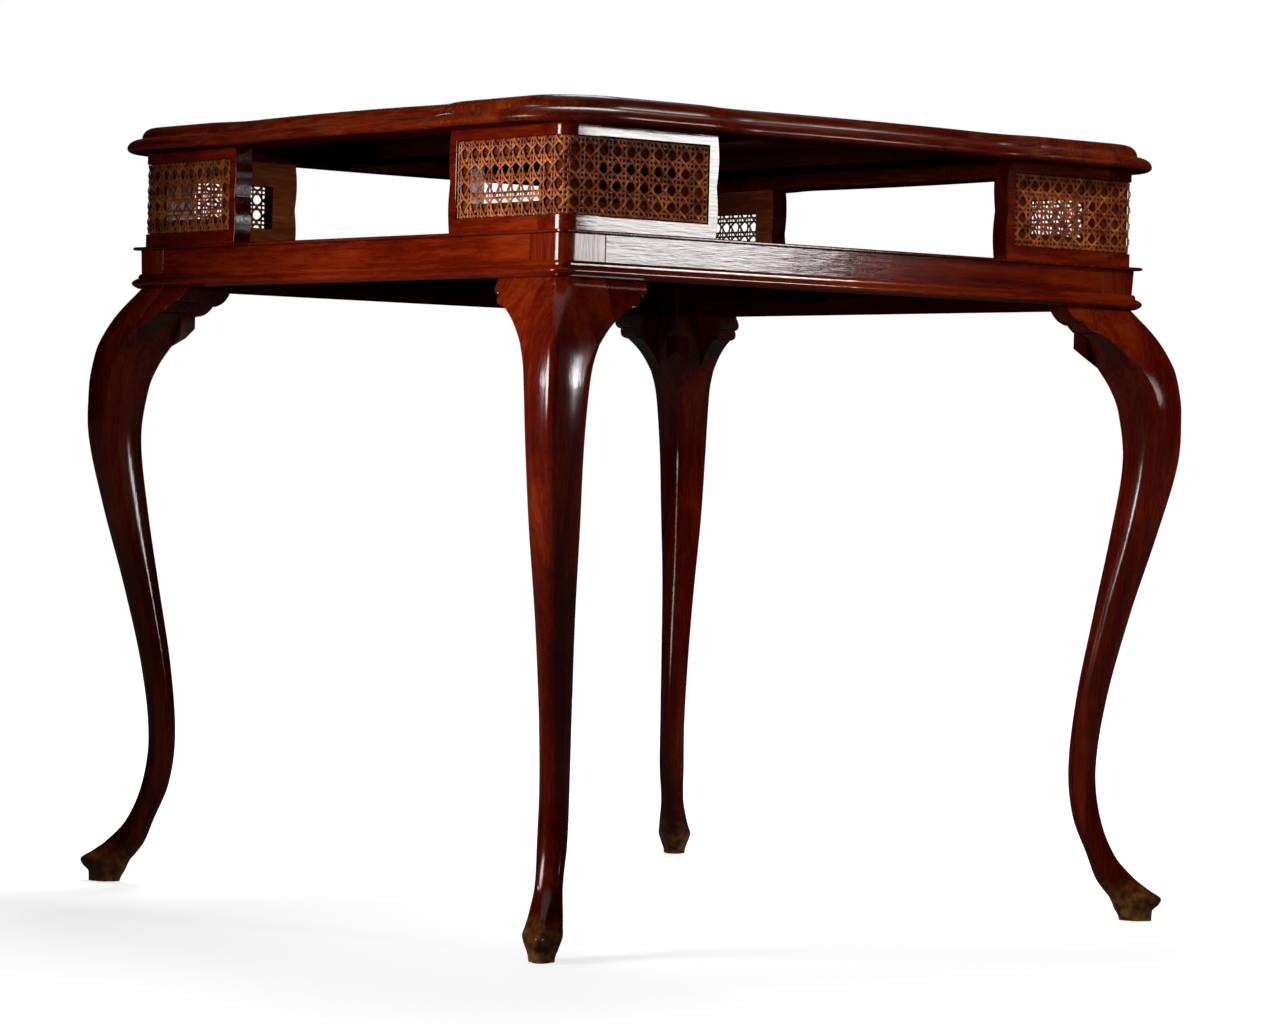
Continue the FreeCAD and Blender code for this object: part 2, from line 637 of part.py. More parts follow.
def make_tray():
    """Bottom of the card space: lies inside the rails, its thin edge carried out over them."""
    body = new_body("tray_board")
    inside = RAIL_INSIDE - s.joint_gap
    notch = POST_INSIDE - s.joint_gap
    lower = new_sketch(body, "XY_Plane", FRIEZE_HEAD)
    steps = [(inside, notch), (notch, notch), (notch, inside)]
    corners = []
    for x_sign, y_sign in ((1, 1), (-1, 1), (-1, -1), (1, -1)):
        run = steps if x_sign * y_sign > 0 else steps[::-1]
        corners += [(x_sign * x, y_sign * y) for x, y in run]
    draw(lower, corners)
    pad(body, lower, s.tray_thickness, reversed_way=True)
    edge = FRIEZE_FACE + s.lip_overhang
    start = edge - s.lip_corner
    lip = new_sketch(body, "XY_Plane", FRIEZE_HEAD)
    draw(lip, [(-start, -edge), (start, -edge, s.lip_corner, 1),
               (edge, -start), (edge, start, s.lip_corner, 1),
               (start, edge), (-start, edge, s.lip_corner, 1),
               (-edge, start), (-edge, -start, s.lip_corner, 1)])
    pad(body, lip, s.lip_thickness)
    mortises = new_sketch(body, "XY_Plane", TRAY_TOP)
    for hand in (-1, 1):
        for way in (-1, 1):
            draw_screen_mortise(mortises, hand, way)
            draw_screen_mortise(mortises, hand, way, turned_over=True)
    bored = pocket(body, mortises, s.lip_thickness)
    doc.recompute()
    reach = float(edge)
    rim = [f"Edge{index}" for index, line in enumerate(bored.Shape.Edges, start=1)
           if line.BoundBox.ZLength < TOUCHING
           and all(max(abs(v.X), abs(v.Y)) > reach - TOUCHING for v in line.Vertexes)]
    easing = body.newObject("PartDesign::Chamfer", "tray_board_chamfer")
    easing.Base = (bored, rim)
    easing.setExpression("Size", s.lip_chamfer.formula)
    body.Tip = easing
    return keep(body, body.Label)


# Caned screens

def make_screen_post(corner, angle):
    body = new_body(f"screen_post_{corner}", angle)
    low, high, bend = SCREEN_POST_SIDE, SCREEN_FACE, SCREEN_FACE - s.screen_round
    plan = new_sketch(body, "XY_Plane", TRAY_TOP)
    draw(plan, [(low, low), (high, low), (high, bend, s.screen_round, 1), (bend, high), (low, high)])
    pad(body, plan, s.screen_height)
    rebate = new_sketch(body, "XY_Plane", CANE_FOOT)
    outside = SCREEN_FACE + CUT_MARGIN
    draw(rebate, [(CANE_BACK, low - CUT_MARGIN), (outside, low - CUT_MARGIN), (outside, outside),
                  (low - CUT_MARGIN, outside), (low - CUT_MARGIN, CANE_BACK),
                  (bend, CANE_BACK, s.screen_round - s.rebate_depth, -1), (CANE_BACK, bend)])
    pocket(body, rebate, CANE_HEAD - CANE_FOOT, reversed_way=True)
    return keep(body, body.Label)


def make_plank(side, end, hand):
    """Screen board with a scalloped free end, a rebate for the cane, a window behind it and two tenons."""
    body = new_body(f"screen_plank_{side}_{end}", SIDES[side])
    waist = TRAY_TOP + s.scallop_foot
    notch = SCREEN_END + s.scallop_rise

    def lobe_radius(height):
        return (height * height / 4 + s.scallop_rise * s.scallop_rise) / (2 * s.scallop_rise)

    elevation = new_sketch(body, "XZ_Plane", SCREEN_FACE - s.plank_thickness)
    draw(elevation, [
        (hand * SCREEN_POST_SIDE, TRAY_TOP), (hand * SCREEN_POST_SIDE, TOP_FOOT),
        (hand * notch, TOP_FOOT, lobe_radius(TOP_FOOT - waist), hand),
        (hand * notch, waist, lobe_radius(waist - TRAY_TOP), hand),
        (hand * notch, TRAY_TOP)])
    pad(body, elevation, s.plank_thickness)
    rebate = new_sketch(body, "XZ_Plane", SCREEN_FACE)
    free_end = SCREEN_END + s.stile_width
    sunk = sorted((hand * free_end, hand * SCREEN_POST_SIDE), key=float)
    rectangle(rebate, *sunk, CANE_FOOT, CANE_HEAD)
    pocket(body, rebate, s.rebate_depth)
    window = new_sketch(body, "XZ_Plane", SCREEN_FACE)
    open_part = sorted((hand * (free_end + s.ledge_free_end), hand * (SCREEN_POST_SIDE - s.ledge_post_end)),
                       key=float)
    rectangle(window, *open_part, CANE_FOOT + s.ledge_height, CANE_HEAD - s.ledge_height)
    pocket(body, window, s.plank_thickness + CUT_MARGIN)
    tenon = new_sketch(body, "XZ_Plane", SCREEN_TENON_BACK)
    across = sorted((hand * SCREEN_TENON_NEAR, hand * SCREEN_TENON_FAR), key=float)
    rectangle(tenon, *across, FRIEZE_HEAD - s.screen_tenon_foot, CANE_FOOT)
    rectangle(tenon, *across, CANE_HEAD, TOP_FOOT + s.screen_tenon_head)
    pad(body, tenon, s.screen_tenon_thickness)
    return keep(body, body.Label)


def draw_gap(sketch, x, z, across):
    """One gap of the cane: an octagon."""
    half_side = math.pi / CANE_GAP_SIDE_COUNT
    radius = across / 2 / math.cos(half_side)
    turns = [half_side * (2 * k + 1) for k in range(CANE_GAP_SIDE_COUNT)]
    corners = [vector(x + radius * math.cos(turn), z + radius * math.sin(turn)) for turn in turns]
    for start, end in zip(corners, corners[1:] + corners[:1]):
        sketch.addGeometry(Part.LineSegment(start, end), False)


def draw_cane_sheet(sketch):
    """Flat of a cane on one side of its post, with the gaps of the weave over the window."""
    bend = SCREEN_FACE - s.screen_round
    start = SCREEN_END + s.stile_width + s.cane_gap
    low, high = CANE_FOOT + s.cane_gap, CANE_HEAD - s.cane_gap
    rectangle(sketch, start, bend, low, high)
    pitch, gap = float(s.cane_pitch), float(s.cane_hole)
    window = (float(start + s.ledge_free_end), float(SCREEN_POST_SIDE - s.ledge_post_end))
    columns = int((window[1] - window[0] - gap) // pitch)
    rows = int((float(high - low) - gap) // pitch)
    first_x = (window[0] + window[1]) / 2 - (columns - 1) * pitch / 2
    first_z = float(low + high) / 2 - (rows - 1) * pitch / 2
    for column in range(columns):
        for row in range(rows):
            draw_gap(sketch, first_x + column * pitch, first_z + row * pitch, gap)
    return sketch


def make_cane(corner, angle):
    """Woven cane of one corner: a holed sheet along each side and the turn round the post."""
    body = new_body(f"cane_{corner}", angle)
    bend = SCREEN_FACE - s.screen_round
    first = draw_cane_sheet(new_sketch(body, "YZ_Plane", CANE_BACK))
    pad(body, first, s.cane_thickness)
    turn = new_sketch(body, "XZ_Plane", -bend)
    rectangle(turn, CANE_BACK, CANE_BACK + s.cane_thickness, CANE_FOOT + s.cane_gap, CANE_HEAD - s.cane_gap)
    revolve(body, turn, bend, 90, reversed_way=False)
    second = draw_cane_sheet(new_sketch(body, "XZ_Plane", -CANE_BACK))
    pad(body, second, s.cane_thickness, reversed_way=True)
    return keep(body, body.Label)


# Top frame

def s_curve(run, rise):
    """Sine and cosine of the angle that two touching arcs turn through over this run and rise."""
    half_tangent = rise / run
    square = half_tangent * half_tangent
    return 2 * half_tangent / (1 + square), (1 - square) / (1 + square)


SHOULDER_RUN = SHOULDER_AT - HOLLOW_AT
BOW_SINE, BOW_COSINE = s_curve(HOLLOW_AT, s.bow_depth)
SHOULDER_SINE, SHOULDER_COSINE = s_curve(SHOULDER_RUN, s.shoulder_rise)
BOW_RADIUS = HOLLOW_AT / BOW_SINE - s.hollow_radius
SHOULDER_RADIUS = SHOULDER_RUN / SHOULDER_SINE - s.hollow_radius
HOLLOW_EDGE = s.top_half - s.shoulder_rise
CORNER_START = s.top_half - s.top_corner_radius


# Places on the edge of the top, as (along the side, out from the middle); grow widens the outline

def bow_end(grow):
    radius = BOW_RADIUS + grow
    return radius * BOW_SINE, HOLLOW_EDGE + s.bow_depth - BOW_RADIUS + radius * BOW_COSINE


def shoulder_start(grow):
    radius = SHOULDER_RADIUS + grow
    return (SHOULDER_AT - radius * SHOULDER_SINE,
            s.top_half - SHOULDER_RADIUS + radius * SHOULDER_COSINE)


def edge_at_joint(grow):
    radius = SHOULDER_RADIUS + grow
    run = SHOULDER_AT - JOINT_AT
    return JOINT_AT, s.top_half - SHOULDER_RADIUS + root(radius * radius - run * run)


def side_run(grow, end):
    """Edge of the top along the front, from one end of a side to the other."""
    bow, shoulder = bow_end(grow), shoulder_start(grow)
    swell, hollow, bowed = SHOULDER_RADIUS + grow, s.hollow_radius - grow, BOW_RADIUS + grow
    return [(-end[0], -end[1], swell, 1), (-shoulder[0], -shoulder[1], hollow, -1),
            (-bow[0], -bow[1], bowed, 1), (bow[0], -bow[1], hollow, -1),
            (shoulder[0], -shoulder[1], swell, 1), (end[0], -end[1])]


def corner_run(grow, before, after):
    """Edge of the top round the corner; before and after are the places that lead in and out."""
    outer, swell = s.top_half + grow, SHOULDER_RADIUS + grow
    return before + [(outer, SHOULDER_AT), (outer, CORNER_START, s.top_corner_radius + grow, 1),
                     (CORNER_START, outer), (SHOULDER_AT, outer, swell, 1)] + after


def oval(flat_end, upright_end, flats):
    """Places along a quarter of an oval that starts level and ends upright."""
    run, rise = upright_end[0] - flat_end[0], flat_end[1] - upright_end[1]
    turns = [math.pi / 2 * k / flats for k in range(flats + 1)]
    return [(flat_end[0] + run * math.sin(turn), upright_end[1] + rise * math.cos(turn)) for turn in turns]


def draw_moulding_waste(sketch, tip, inward):
    """Outline of the wood taken off outside the moulded edge. tip is the edge's place in the sketch,
    inward is +1 or -1: the way that leads into the wood."""

    def place(depth, height):
        return tip + inward * depth, height

    step = TOP_FOOT + s.nose_height
    depth = s.nose_depth + s.ovolo_depth
    ovolo = oval(place(depth, TOP_FACE), place(s.nose_depth, step + s.ovolo_step), OVOLO_FLAT_COUNT)
    nose = oval(place(s.nose_depth, step), place(as_size(0), TOP_FOOT + s.nose_tip), OVOLO_FLAT_COUNT)
    outside, low, high = as_size(-CUT_MARGIN), TOP_FOOT - CUT_MARGIN, TOP_FACE + CUT_MARGIN
    return draw(sketch, [place(s.nose_under, low), place(outside, low), place(outside, high),
                         place(depth, high), *ovolo, *nose, place(s.nose_under, TOP_FOOT)])


def cut_moulding(body, path, waste):
    made = body.newObject("PartDesign::SubtractivePipe", f"{body.Name}_moulding")
    made.Profile = waste
    made.Spine = (path, [f"Edge{index + 1}" for index in range(path.GeometryCount)])
    body.Tip = made
    return made


TONGUE_INSIDE = FRAME_INSIDE + s.tongue_inset
TONGUE_FOOT = TOP_FOOT + (PANEL_FOOT - TOP_FOOT - s.tongue_thickness) / 2


def draw_tongue_slot(sketch, way):
    """Slot of a loose tongue in the end of a frame piece; way is the side of the table it lies on."""
    across = sorted((way * (TONGUE_INSIDE - s.joint_gap),
                     way * (TONGUE_INSIDE + s.tongue_width + s.joint_gap)), key=float)
    rectangle(sketch, *across, TONGUE_FOOT - s.joint_gap, TONGUE_FOOT + s.tongue_thickness + s.joint_gap)


def make_top_side(side):
    """Bowed side of the top frame, with the panel's ledge and, left and right, the bearers' mortises."""
    body = new_body(f"top_side_{side}", SIDES[side])
    plan = new_sketch(body, "XY_Plane", TOP_FOOT)
    end = edge_at_joint(EDGE_SPARE)
    draw(plan, side_run(EDGE_SPARE, end) + [(end[0], -FRAME_INSIDE), (-end[0], -FRAME_INSIDE)])
    pad(body, plan, TOP_THICKNESS)
    path = new_sketch(body, "XY_Plane", TOP_FOOT)
    draw(path, side_run(0, (SHOULDER_AT, s.top_half)), closed=False)
    waste = new_sketch(body, "YZ_Plane", -SHOULDER_AT)
    cut_moulding(body, path, draw_moulding_waste(waste, -s.top_half, 1))
    ledge = new_sketch(body, "XY_Plane", TOP_FACE)
    rectangle(ledge, -SHOULDER_AT, SHOULDER_AT,
              -PANEL_EDGE, CUT_MARGIN - FRAME_INSIDE)
    pocket(body, ledge, s.panel_thickness)
    for hand in (-1, 1):
        slot = new_sketch(body, "YZ_Plane", hand * JOINT_AT)
        draw_tongue_slot(slot, -1)
        pocket(body, slot, s.tongue_length / 2 + s.joint_gap, reversed_way=hand < 0)
    if side in ("left", "right"):
        mortises = new_sketch(body, "XZ_Plane", FRAME_INSIDE)
        for hand in (-1, 1):
            across = sorted((hand * (BEARER_TENON_LOW - s.joint_gap),
                             hand * (BEARER_TENON_HIGH + s.joint_gap)), key=float)
            rectangle(mortises, *across, BEARER_TENON_FOOT - s.joint_gap, BEARER_TENON_HEAD + s.joint_gap)
        pocket(body, mortises, s.bearer_tenon + s.joint_gap, reversed_way=True)
    return keep(body, body.Label)


def make_top_corner(corner, angle):
    """Projecting round corner of the top frame, mortised for the screen below."""
    body = new_body(f"top_corner_{corner}", angle)
    grow = EDGE_SPARE
    joint = edge_at_joint(grow)
    plan = new_sketch(body, "XY_Plane", TOP_FOOT)
    inner = FRAME_INSIDE
    draw(plan, corner_run(grow, [(joint[1], joint[0], SHOULDER_RADIUS + grow, 1)], [joint])
         + [(joint[0], inner), (inner, inner), (inner, joint[0])])
    pad(body, plan, TOP_THICKNESS)
    path = new_sketch(body, "XY_Plane", TOP_FOOT)
    shoulder = shoulder_start(0)
    lead_in = [(HOLLOW_EDGE, HOLLOW_AT, s.hollow_radius, -1),
               (shoulder[1], shoulder[0], SHOULDER_RADIUS, 1)]
    lead_out = [(*shoulder, s.hollow_radius, -1), (HOLLOW_AT, HOLLOW_EDGE)]
    draw(path, corner_run(0, lead_in, lead_out), closed=False)
    waste = new_sketch(body, "XZ_Plane", -HOLLOW_AT)
    cut_moulding(body, path, draw_moulding_waste(waste, HOLLOW_EDGE, -1))
    ledge = new_sketch(body, "XY_Plane", TOP_FACE)
    rectangle(ledge, HOLLOW_AT, PANEL_EDGE, HOLLOW_AT, PANEL_EDGE)
    pocket(body, ledge, s.panel_thickness)
    for role, way, into_wood in (("YZ_Plane", 1, True), ("XZ_Plane", -1, False)):
        slot = new_sketch(body, role, way * JOINT_AT)
        draw_tongue_slot(slot, 1)
        pocket(body, slot, s.tongue_length / 2 + s.joint_gap, reversed_way=into_wood)
    mortises = new_sketch(body, "XY_Plane", TOP_FOOT)
    draw_screen_mortise(mortises, 1, 1)
    draw_screen_mortise(mortises, 1, 1, turned_over=True)
    pocket(body, mortises, s.screen_tenon_head + s.joint_gap, reversed_way=True)
    return keep(body, body.Label)


# Bearers, panel and baize

BEARER_INNER = s.bearer_outer - s.bearer_width
BEARER_TENON_LOW = BEARER_INNER + s.bearer_tenon_side
BEARER_TENON_HIGH = s.bearer_outer - s.bearer_tenon_side
BEARER_TENON_FOOT = TOP_FOOT + s.bearer_shoulder
BEARER_TENON_HEAD = PANEL_FOOT - s.bearer_shoulder


def make_bearer(name, way):
    """Flat bar across the top frame that carries the middle of the panel."""
    body = new_body(f"top_bearer_{name}")
    bar = new_sketch(body, "XY_Plane", TOP_FOOT)
    half = FRAME_INSIDE
    rectangle(bar, -half, half, *sorted((way * BEARER_INNER, way * s.bearer_outer), key=float))
    pad(body, bar, PANEL_FOOT - TOP_FOOT)
    tenon = new_sketch(body, "XY_Plane", BEARER_TENON_FOOT)
    reach = half + s.bearer_tenon
    rectangle(tenon, -reach, reach, *sorted((way * BEARER_TENON_LOW, way * BEARER_TENON_HIGH), key=float))
    pad(body, tenon, BEARER_TENON_HEAD - BEARER_TENON_FOOT)
    return keep(body, body.Label)


BAIZE_HALF = PANEL_EDGE - s.baize_border


def make_panel():
    body = new_body("playing_panel")
    edge = PANEL_EDGE - s.panel_gap
    board = new_sketch(body, "XY_Plane", PANEL_FOOT)
    rectangle(board, -edge, edge, -edge, edge)
    pad(body, board, s.panel_thickness)
    bed = new_sketch(body, "XY_Plane", TOP_FACE)
    rectangle(bed, -BAIZE_HALF, BAIZE_HALF, -BAIZE_HALF, BAIZE_HALF)
    pocket(body, bed, s.baize_thickness)
    return keep(body, body.Label)


# Groups of small pieces

def make_group(label, pieces):
    group = doc.addObject("Part::Compound", label)
    group.Links = pieces
    return keep(group, label)


def make_glue_blocks():
    head = FRIEZE_HEAD - s.tray_thickness
    half = s.block_length / 2
    return make_group("glue_blocks", [
        side_box("glue_block", angle, hand * s.block_from_middle - half, hand * s.block_from_middle + half,
                 -RAIL_INSIDE, s.block_size - RAIL_INSIDE, head - s.block_size, head)
        for angle in SIDES.values() for hand in (-1, 1)])


def make_tongues():
    half = s.tongue_length / 2
    return make_group("frame_tongues", [
        side_box("frame_tongue", angle, hand * JOINT_AT - half, hand * JOINT_AT + half,
                 -TONGUE_INSIDE - s.tongue_width, -TONGUE_INSIDE,
                 TONGUE_FOOT, TONGUE_FOOT + s.tongue_thickness)
        for angle in SIDES.values() for hand in (-1, 1)])


# The table

legs = {corner: make_leg(corner, angle) for corner, angle in CORNERS.items()}
for side, ends in SIDE_ENDS.items():
    make_rail(side)
    make_bead(side)
    make_top_side(side)
    for hand, end in zip((-1, 1), ends):
        corner = f"{side}_{end}" if side in ("front", "back") else f"{end}_{side}"
        make_bracket(side, end, hand, legs[corner])
        make_plank(side, end, hand)
for corner, angle in CORNERS.items():
    make_screen_post(corner, angle)
    make_cane(corner, angle)
    make_top_corner(corner, angle)
make_tray()
make_glue_blocks()
make_tongues()
make_bearer("front", -1)
make_bearer("back", 1)
make_panel()
baize_edge = BAIZE_HALF - s.joint_gap
keep(make_box("baize", -baize_edge, baize_edge, -baize_edge, baize_edge,
              TOP_FACE - s.baize_thickness, TOP_FACE), "baize")
doc.recompute()

# Checks before the pieces are written
GROUPS = ("glue_blocks", "frame_tongues")
problems = [f"{item.Label}: {item.State}" for item in doc.Objects
            if "Invalid" in item.State or "Error" in item.State]
for item in doc.Objects:
    if item.TypeId in ("PartDesign::Pocket", "PartDesign::SubtractivePipe"):
        if item.Shape.Volume > item.BaseFeature.Shape.Volume - 1:
            problems.append(f"{item.Label}: nothing was cut")
for piece in nodes:
    if piece.Shape.isNull() or not piece.Shape.isValid():
        problems.append(f"{piece.Label}: shape is not sound")
    elif piece.Label not in GROUPS and len(piece.Shape.Solids) != 1:
        problems.append(f"{piece.Label}: {len(piece.Shape.Solids)} solids")
if problems:
    raise RuntimeError("; ".join(problems))

os.makedirs("parts", exist_ok=True)
for piece in nodes:
    piece.Shape.exportStep(f"parts/{piece.Label}.step")
print(len(nodes), "pieces written")
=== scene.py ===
# %% [markdown]
# # A polished games table
# The table is square, about 77 cm across and 76 cm high: four cabriole legs, a moulded frieze with a
# thin tray on it, four caned corner screens and a shaped, moulded top with a lift-out playing panel.
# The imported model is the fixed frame. Pieces whose flat-faced solids are only a sketch of the carved
# wood are rebuilt here in the same place with smooth sections, and the cane is woven strand by strand.

# %% Load the frame
import math
import random
import bmesh
import bpy
from mathutils import Matrix, Vector


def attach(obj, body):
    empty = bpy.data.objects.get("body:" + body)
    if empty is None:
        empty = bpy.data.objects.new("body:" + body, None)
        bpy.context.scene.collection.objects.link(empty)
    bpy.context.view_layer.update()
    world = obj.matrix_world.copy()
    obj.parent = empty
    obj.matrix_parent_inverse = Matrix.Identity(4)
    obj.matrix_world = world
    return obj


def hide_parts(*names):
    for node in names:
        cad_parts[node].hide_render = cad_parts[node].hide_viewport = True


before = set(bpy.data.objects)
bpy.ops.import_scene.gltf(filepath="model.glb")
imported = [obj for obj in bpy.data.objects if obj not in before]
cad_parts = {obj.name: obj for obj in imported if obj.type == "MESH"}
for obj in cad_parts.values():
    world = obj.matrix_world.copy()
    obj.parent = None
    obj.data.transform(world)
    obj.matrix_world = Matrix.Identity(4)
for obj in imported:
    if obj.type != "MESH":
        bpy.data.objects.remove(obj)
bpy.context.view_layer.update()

# %% [markdown]
# ## Sizes
# The numbers below repeat the table's own sizes in millimetres, because every rebuilt piece has to lie
# exactly where its solid lies. Meshes are made in millimetres and scaled to metres at the very end.

# %% Levels and planes
MM = 0.001
ROOT2 = math.sqrt(2.0)
FRIEZE_FOOT, FRIEZE_HEAD, TRAY_TOP = 597.0, 635.5, 638.5
TOP_FOOT, TOP_STEP, TOP_FACE = 732.0, 745.5, 757.0
FRIEZE_HALF, POST_SIZE, CORNER_ROUND = 353.0, 48.0, 8.0
SCREEN_FACE, SCREEN_BACK, SCREEN_POST_SIDE = 351.5, 332.5, 313.5
CANE_FOOT, CANE_HEAD, REBATE_DEPTH = 651.5, 722.0, 3.6
SCREEN_ROUND = 14.0
PANEL_FOOT, PANEL_EDGE, FRAME_INSIDE = 746.2, 339.0, 331.0
CORNERS = {"back_right": 0, "back_left": 90, "front_left": 180, "front_right": 270}
SIDES = {"front": 0, "right": 90, "back": 180, "left": 270}
SIDE_ENDS = {"front": ("left", "right"), "right": ("front", "back"),
             "back": ("right", "left"), "left": ("back", "front")}
HANDED_ENDS = [(side, hand, end) for side, ends in SIDE_ENDS.items() for hand, end in zip((-1, 1), ends)]
print("top at", TOP_FACE, "mm, frieze", 2 * FRIEZE_HALF, "mm square")

# %% [markdown]
# ## Mesh helpers
# Nearly every piece of joinery is a section carried along a path, so one helper bridges a row of rings
# that all have the same number of points. A second helper places the finished mesh: the same mesh is
# turned about the upright axis for each side or corner, which keeps the four sides alike.

# %% Rings to mesh
SHARP, WELD = 32, 1e-6


def mesh_from_rings(name, rings):
    """Quads between neighbouring closed rings of points, and a face over each end."""
    size = len(rings[0])
    points = [point for ring in rings for point in ring]
    faces = []
    for row in range(len(rings) - 1):
        here, there = row * size, (row + 1) * size
        for k in range(size):
            after = (k + 1) % size
            faces.append((here + k, here + after, there + after, there + k))
    faces.append(tuple(reversed(range(size))))
    faces.append(tuple(range(len(points) - size, len(points))))
    return mesh_from_faces(name, points, faces)


def mesh_from_faces(name, points, faces, sharp_angle=SHARP):
    mesh = bpy.data.meshes.new(name)
    mesh.from_pydata([Vector(point) * MM for point in points], [], faces)
    tidy_mesh(mesh, sharp_angle)
    return mesh


def tidy_mesh(mesh, sharp_angle=SHARP):
    """Outward faces, smooth shading, and sharp edges kept sharp."""
    work = bmesh.new()
    work.from_mesh(mesh)
    bmesh.ops.remove_doubles(work, verts=work.verts, dist=WELD)
    bmesh.ops.recalc_face_normals(work, faces=work.faces)
    work.to_mesh(mesh)
    work.free()
    mesh.shade_smooth()
    mesh.set_sharp_from_angle(angle=math.radians(sharp_angle))


print("rings become meshes, sharp above", SHARP, "degrees")

# %% Placing and easing a piece
def new_object(name, data):
    made = bpy.data.objects.new(name, data)
    bpy.context.scene.collection.objects.link(made)
    return made


def place(name, mesh, angle, nodes, material=None, body="table"):
    """One piece on the table: turned about Z, riding on its body in place of its solids."""
    piece = new_object(name, mesh)
    piece.rotation_euler = (0, 0, math.radians(angle))
    if material is not None and not mesh.materials:
        mesh.materials.append(material)
    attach(piece, body)
    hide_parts(*nodes)
    return piece


def soften(piece, width, segments=2, angle=35):
    """Small rounding on a piece's arrises, as hand sanding leaves it."""
    bevel = piece.modifiers.new("eased arrises", "BEVEL")
    bevel.width = width * MM
    bevel.segments = segments
    bevel.limit_method = "ANGLE"
    bevel.angle_limit = math.radians(angle)
    return bevel


print("pieces can be placed and eased")

# %% [markdown]
# ## Polished mahogany
# The wood is a dark red-brown mahogany under a thick, old French polish. Three stretched noises make
# the figure: broad bands, fibres and short dark pores. They are read in each piece's own space, so the
# grain runs along a rail and up a leg, and every piece gets its own shift so that no two boards match. A
# picture of wood could be wrapped round each piece instead, but it would repeat from board to board.
# The polish is the shader's clear coat; a fine noise makes it slightly wavy, as brushed-on shellac is.

# %% Node helpers
BLACK, WHITE, EVENLY = (0, 0, 0), (1, 1, 1), (1, 1, 1)


def node(tree, kind, links=None, operation=None):
    """Adds a shader node, sets its operation if it has one, and links its inputs."""
    made = tree.nodes.new(kind)
    if operation:
        made.operation = operation
    feed(tree, made, links or {})
    return made


def feed(tree, shader, links):
    for name, source in links.items():
        tree.links.new(source, shader.inputs[name])


def set_values(shader, values):
    for name, value in values.items():
        shader.inputs[name].default_value = value


def new_material(name):
    material = bpy.data.materials.new(name)
    material.use_nodes = True
    tree = material.node_tree
    return material, tree, tree.nodes["Principled BSDF"]


def ramp(tree, source, *stops):
    """Colour ramp from (place, colour) pairs."""
    made = tree.nodes.new("ShaderNodeValToRGB")
    band = made.color_ramp
    while len(band.elements) < len(stops):
        band.elements.new(0.5)
    for element, (spot, colour) in zip(band.elements, stops):
        element.position = spot
        element.color = (*colour, 1.0)
    tree.links.new(source, made.inputs["Fac"])
    return made.outputs["Color"]


def math_node(tree, operation, first, second):
    made = node(tree, "ShaderNodeMath", operation=operation)
    for socket, value in zip(made.inputs, (first, second)):
        if isinstance(value, (int, float)):
            socket.default_value = value
        else:
            tree.links.new(value, socket)
    return made.outputs["Value"]


def product(tree, first, second):
    return math_node(tree, "MULTIPLY", first, second)


def total(tree, first, second):
    return math_node(tree, "ADD", first, second)


def weighted(tree, first, first_share, second, second_share):
    """Two values added, each by its share."""
    return total(tree, product(tree, first, first_share), product(tree, second, second_share))


def mix_colour(tree, share, first, second, blend="MIX"):
    made = tree.nodes.new("ShaderNodeMix")
    made.data_type = "RGBA"
    made.blend_type = blend
    for name, kind, value in (("Factor", "VALUE", share), ("A", "RGBA", first), ("B", "RGBA", second)):
        socket = next(s for s in made.inputs if (s.name, s.type) == (name, kind))
        if isinstance(value, (int, float)):
            socket.default_value = value
        elif isinstance(value, tuple):
            socket.default_value = (*value, 1.0)
        else:
            tree.links.new(value, socket)
    return next(s for s in made.outputs if s.type == "RGBA")


print("node helpers ready")

# %% Grain space, noise and bump
GRAIN_SHIFT = (3.1, 5.3, 7.7)


def own_space(tree):
    """Each piece's own coordinates, in metres."""
    return node(tree, "ShaderNodeTexCoord").outputs["Object"]


def stretched(tree, where, scale):
    made = node(tree, "ShaderNodeVectorMath", {0: where}, "MULTIPLY")
    made.inputs[1].default_value = scale
    return made.outputs["Vector"]


def grain_space(tree, scale):
    """A piece's own coordinates, and the same shifted by a random step and stretched."""
    where = own_space(tree)
    chance = node(tree, "ShaderNodeObjectInfo").outputs["Random"]
    shift = node(tree, "ShaderNodeVectorMath", {"Scale": chance}, "SCALE")
    shift.inputs[0].default_value = GRAIN_SHIFT
    moved = node(tree, "ShaderNodeVectorMath", {0: where, 1: shift.outputs["Vector"]}, "ADD")
    return where, stretched(tree, moved.outputs["Vector"], scale)


def noise(tree, where, scale, detail=4.0, roughness=0.55, distortion=0.0):
    made = node(tree, "ShaderNodeTexNoise", {"Vector": where})
    set_values(made, {"Scale": scale, "Detail": detail, "Roughness": roughness, "Distortion": distortion})
    return made.outputs["Fac"]


def bumped(tree, shader, height, strength, depth):
    """Bump on a shader from a height; the depth is in metres."""
    bump = node(tree, "ShaderNodeBump", {"Height": height})
    set_values(bump, {"Strength": strength, "Distance": depth})
    tree.links.new(bump.outputs["Normal"], shader.inputs["Normal"])
    return bump.outputs["Normal"]


print("grain, noise and bump ready")

# %% Mahogany
DEEP, MIDDLE, WARM = (0.030, 0.0014, 0.0004), (0.105, 0.0060, 0.0009), (0.225, 0.025, 0.0034)
# The golden brown on this line colours streaking on the top moulding: partly rubbed polish, partly painted
# sheen.
RUBBED_AND_PAINTED_SHEEN, PORE = (0.125, 0.055, 0.014), (0.45, 0.40, 0.36)
SCRAPED, BARE = (0.100, 0.030, 0.008), (0.40, 0.180, 0.045)
GRAIN = {"x": (1, 11, 11), "y": (11, 1, 11), "z": (11, 11, 1)}


def polished_faces(tree):
    """1 where polish was laid on, 0 on faces that look straight down."""
    way = node(tree, "ShaderNodeNewGeometry").outputs["True Normal"]
    upright = node(tree, "ShaderNodeSeparateXYZ", {"Vector": way}).outputs["Z"]
    return ramp(tree, total(tree, upright, 1.0), (0.02, BLACK), (0.12, WHITE))


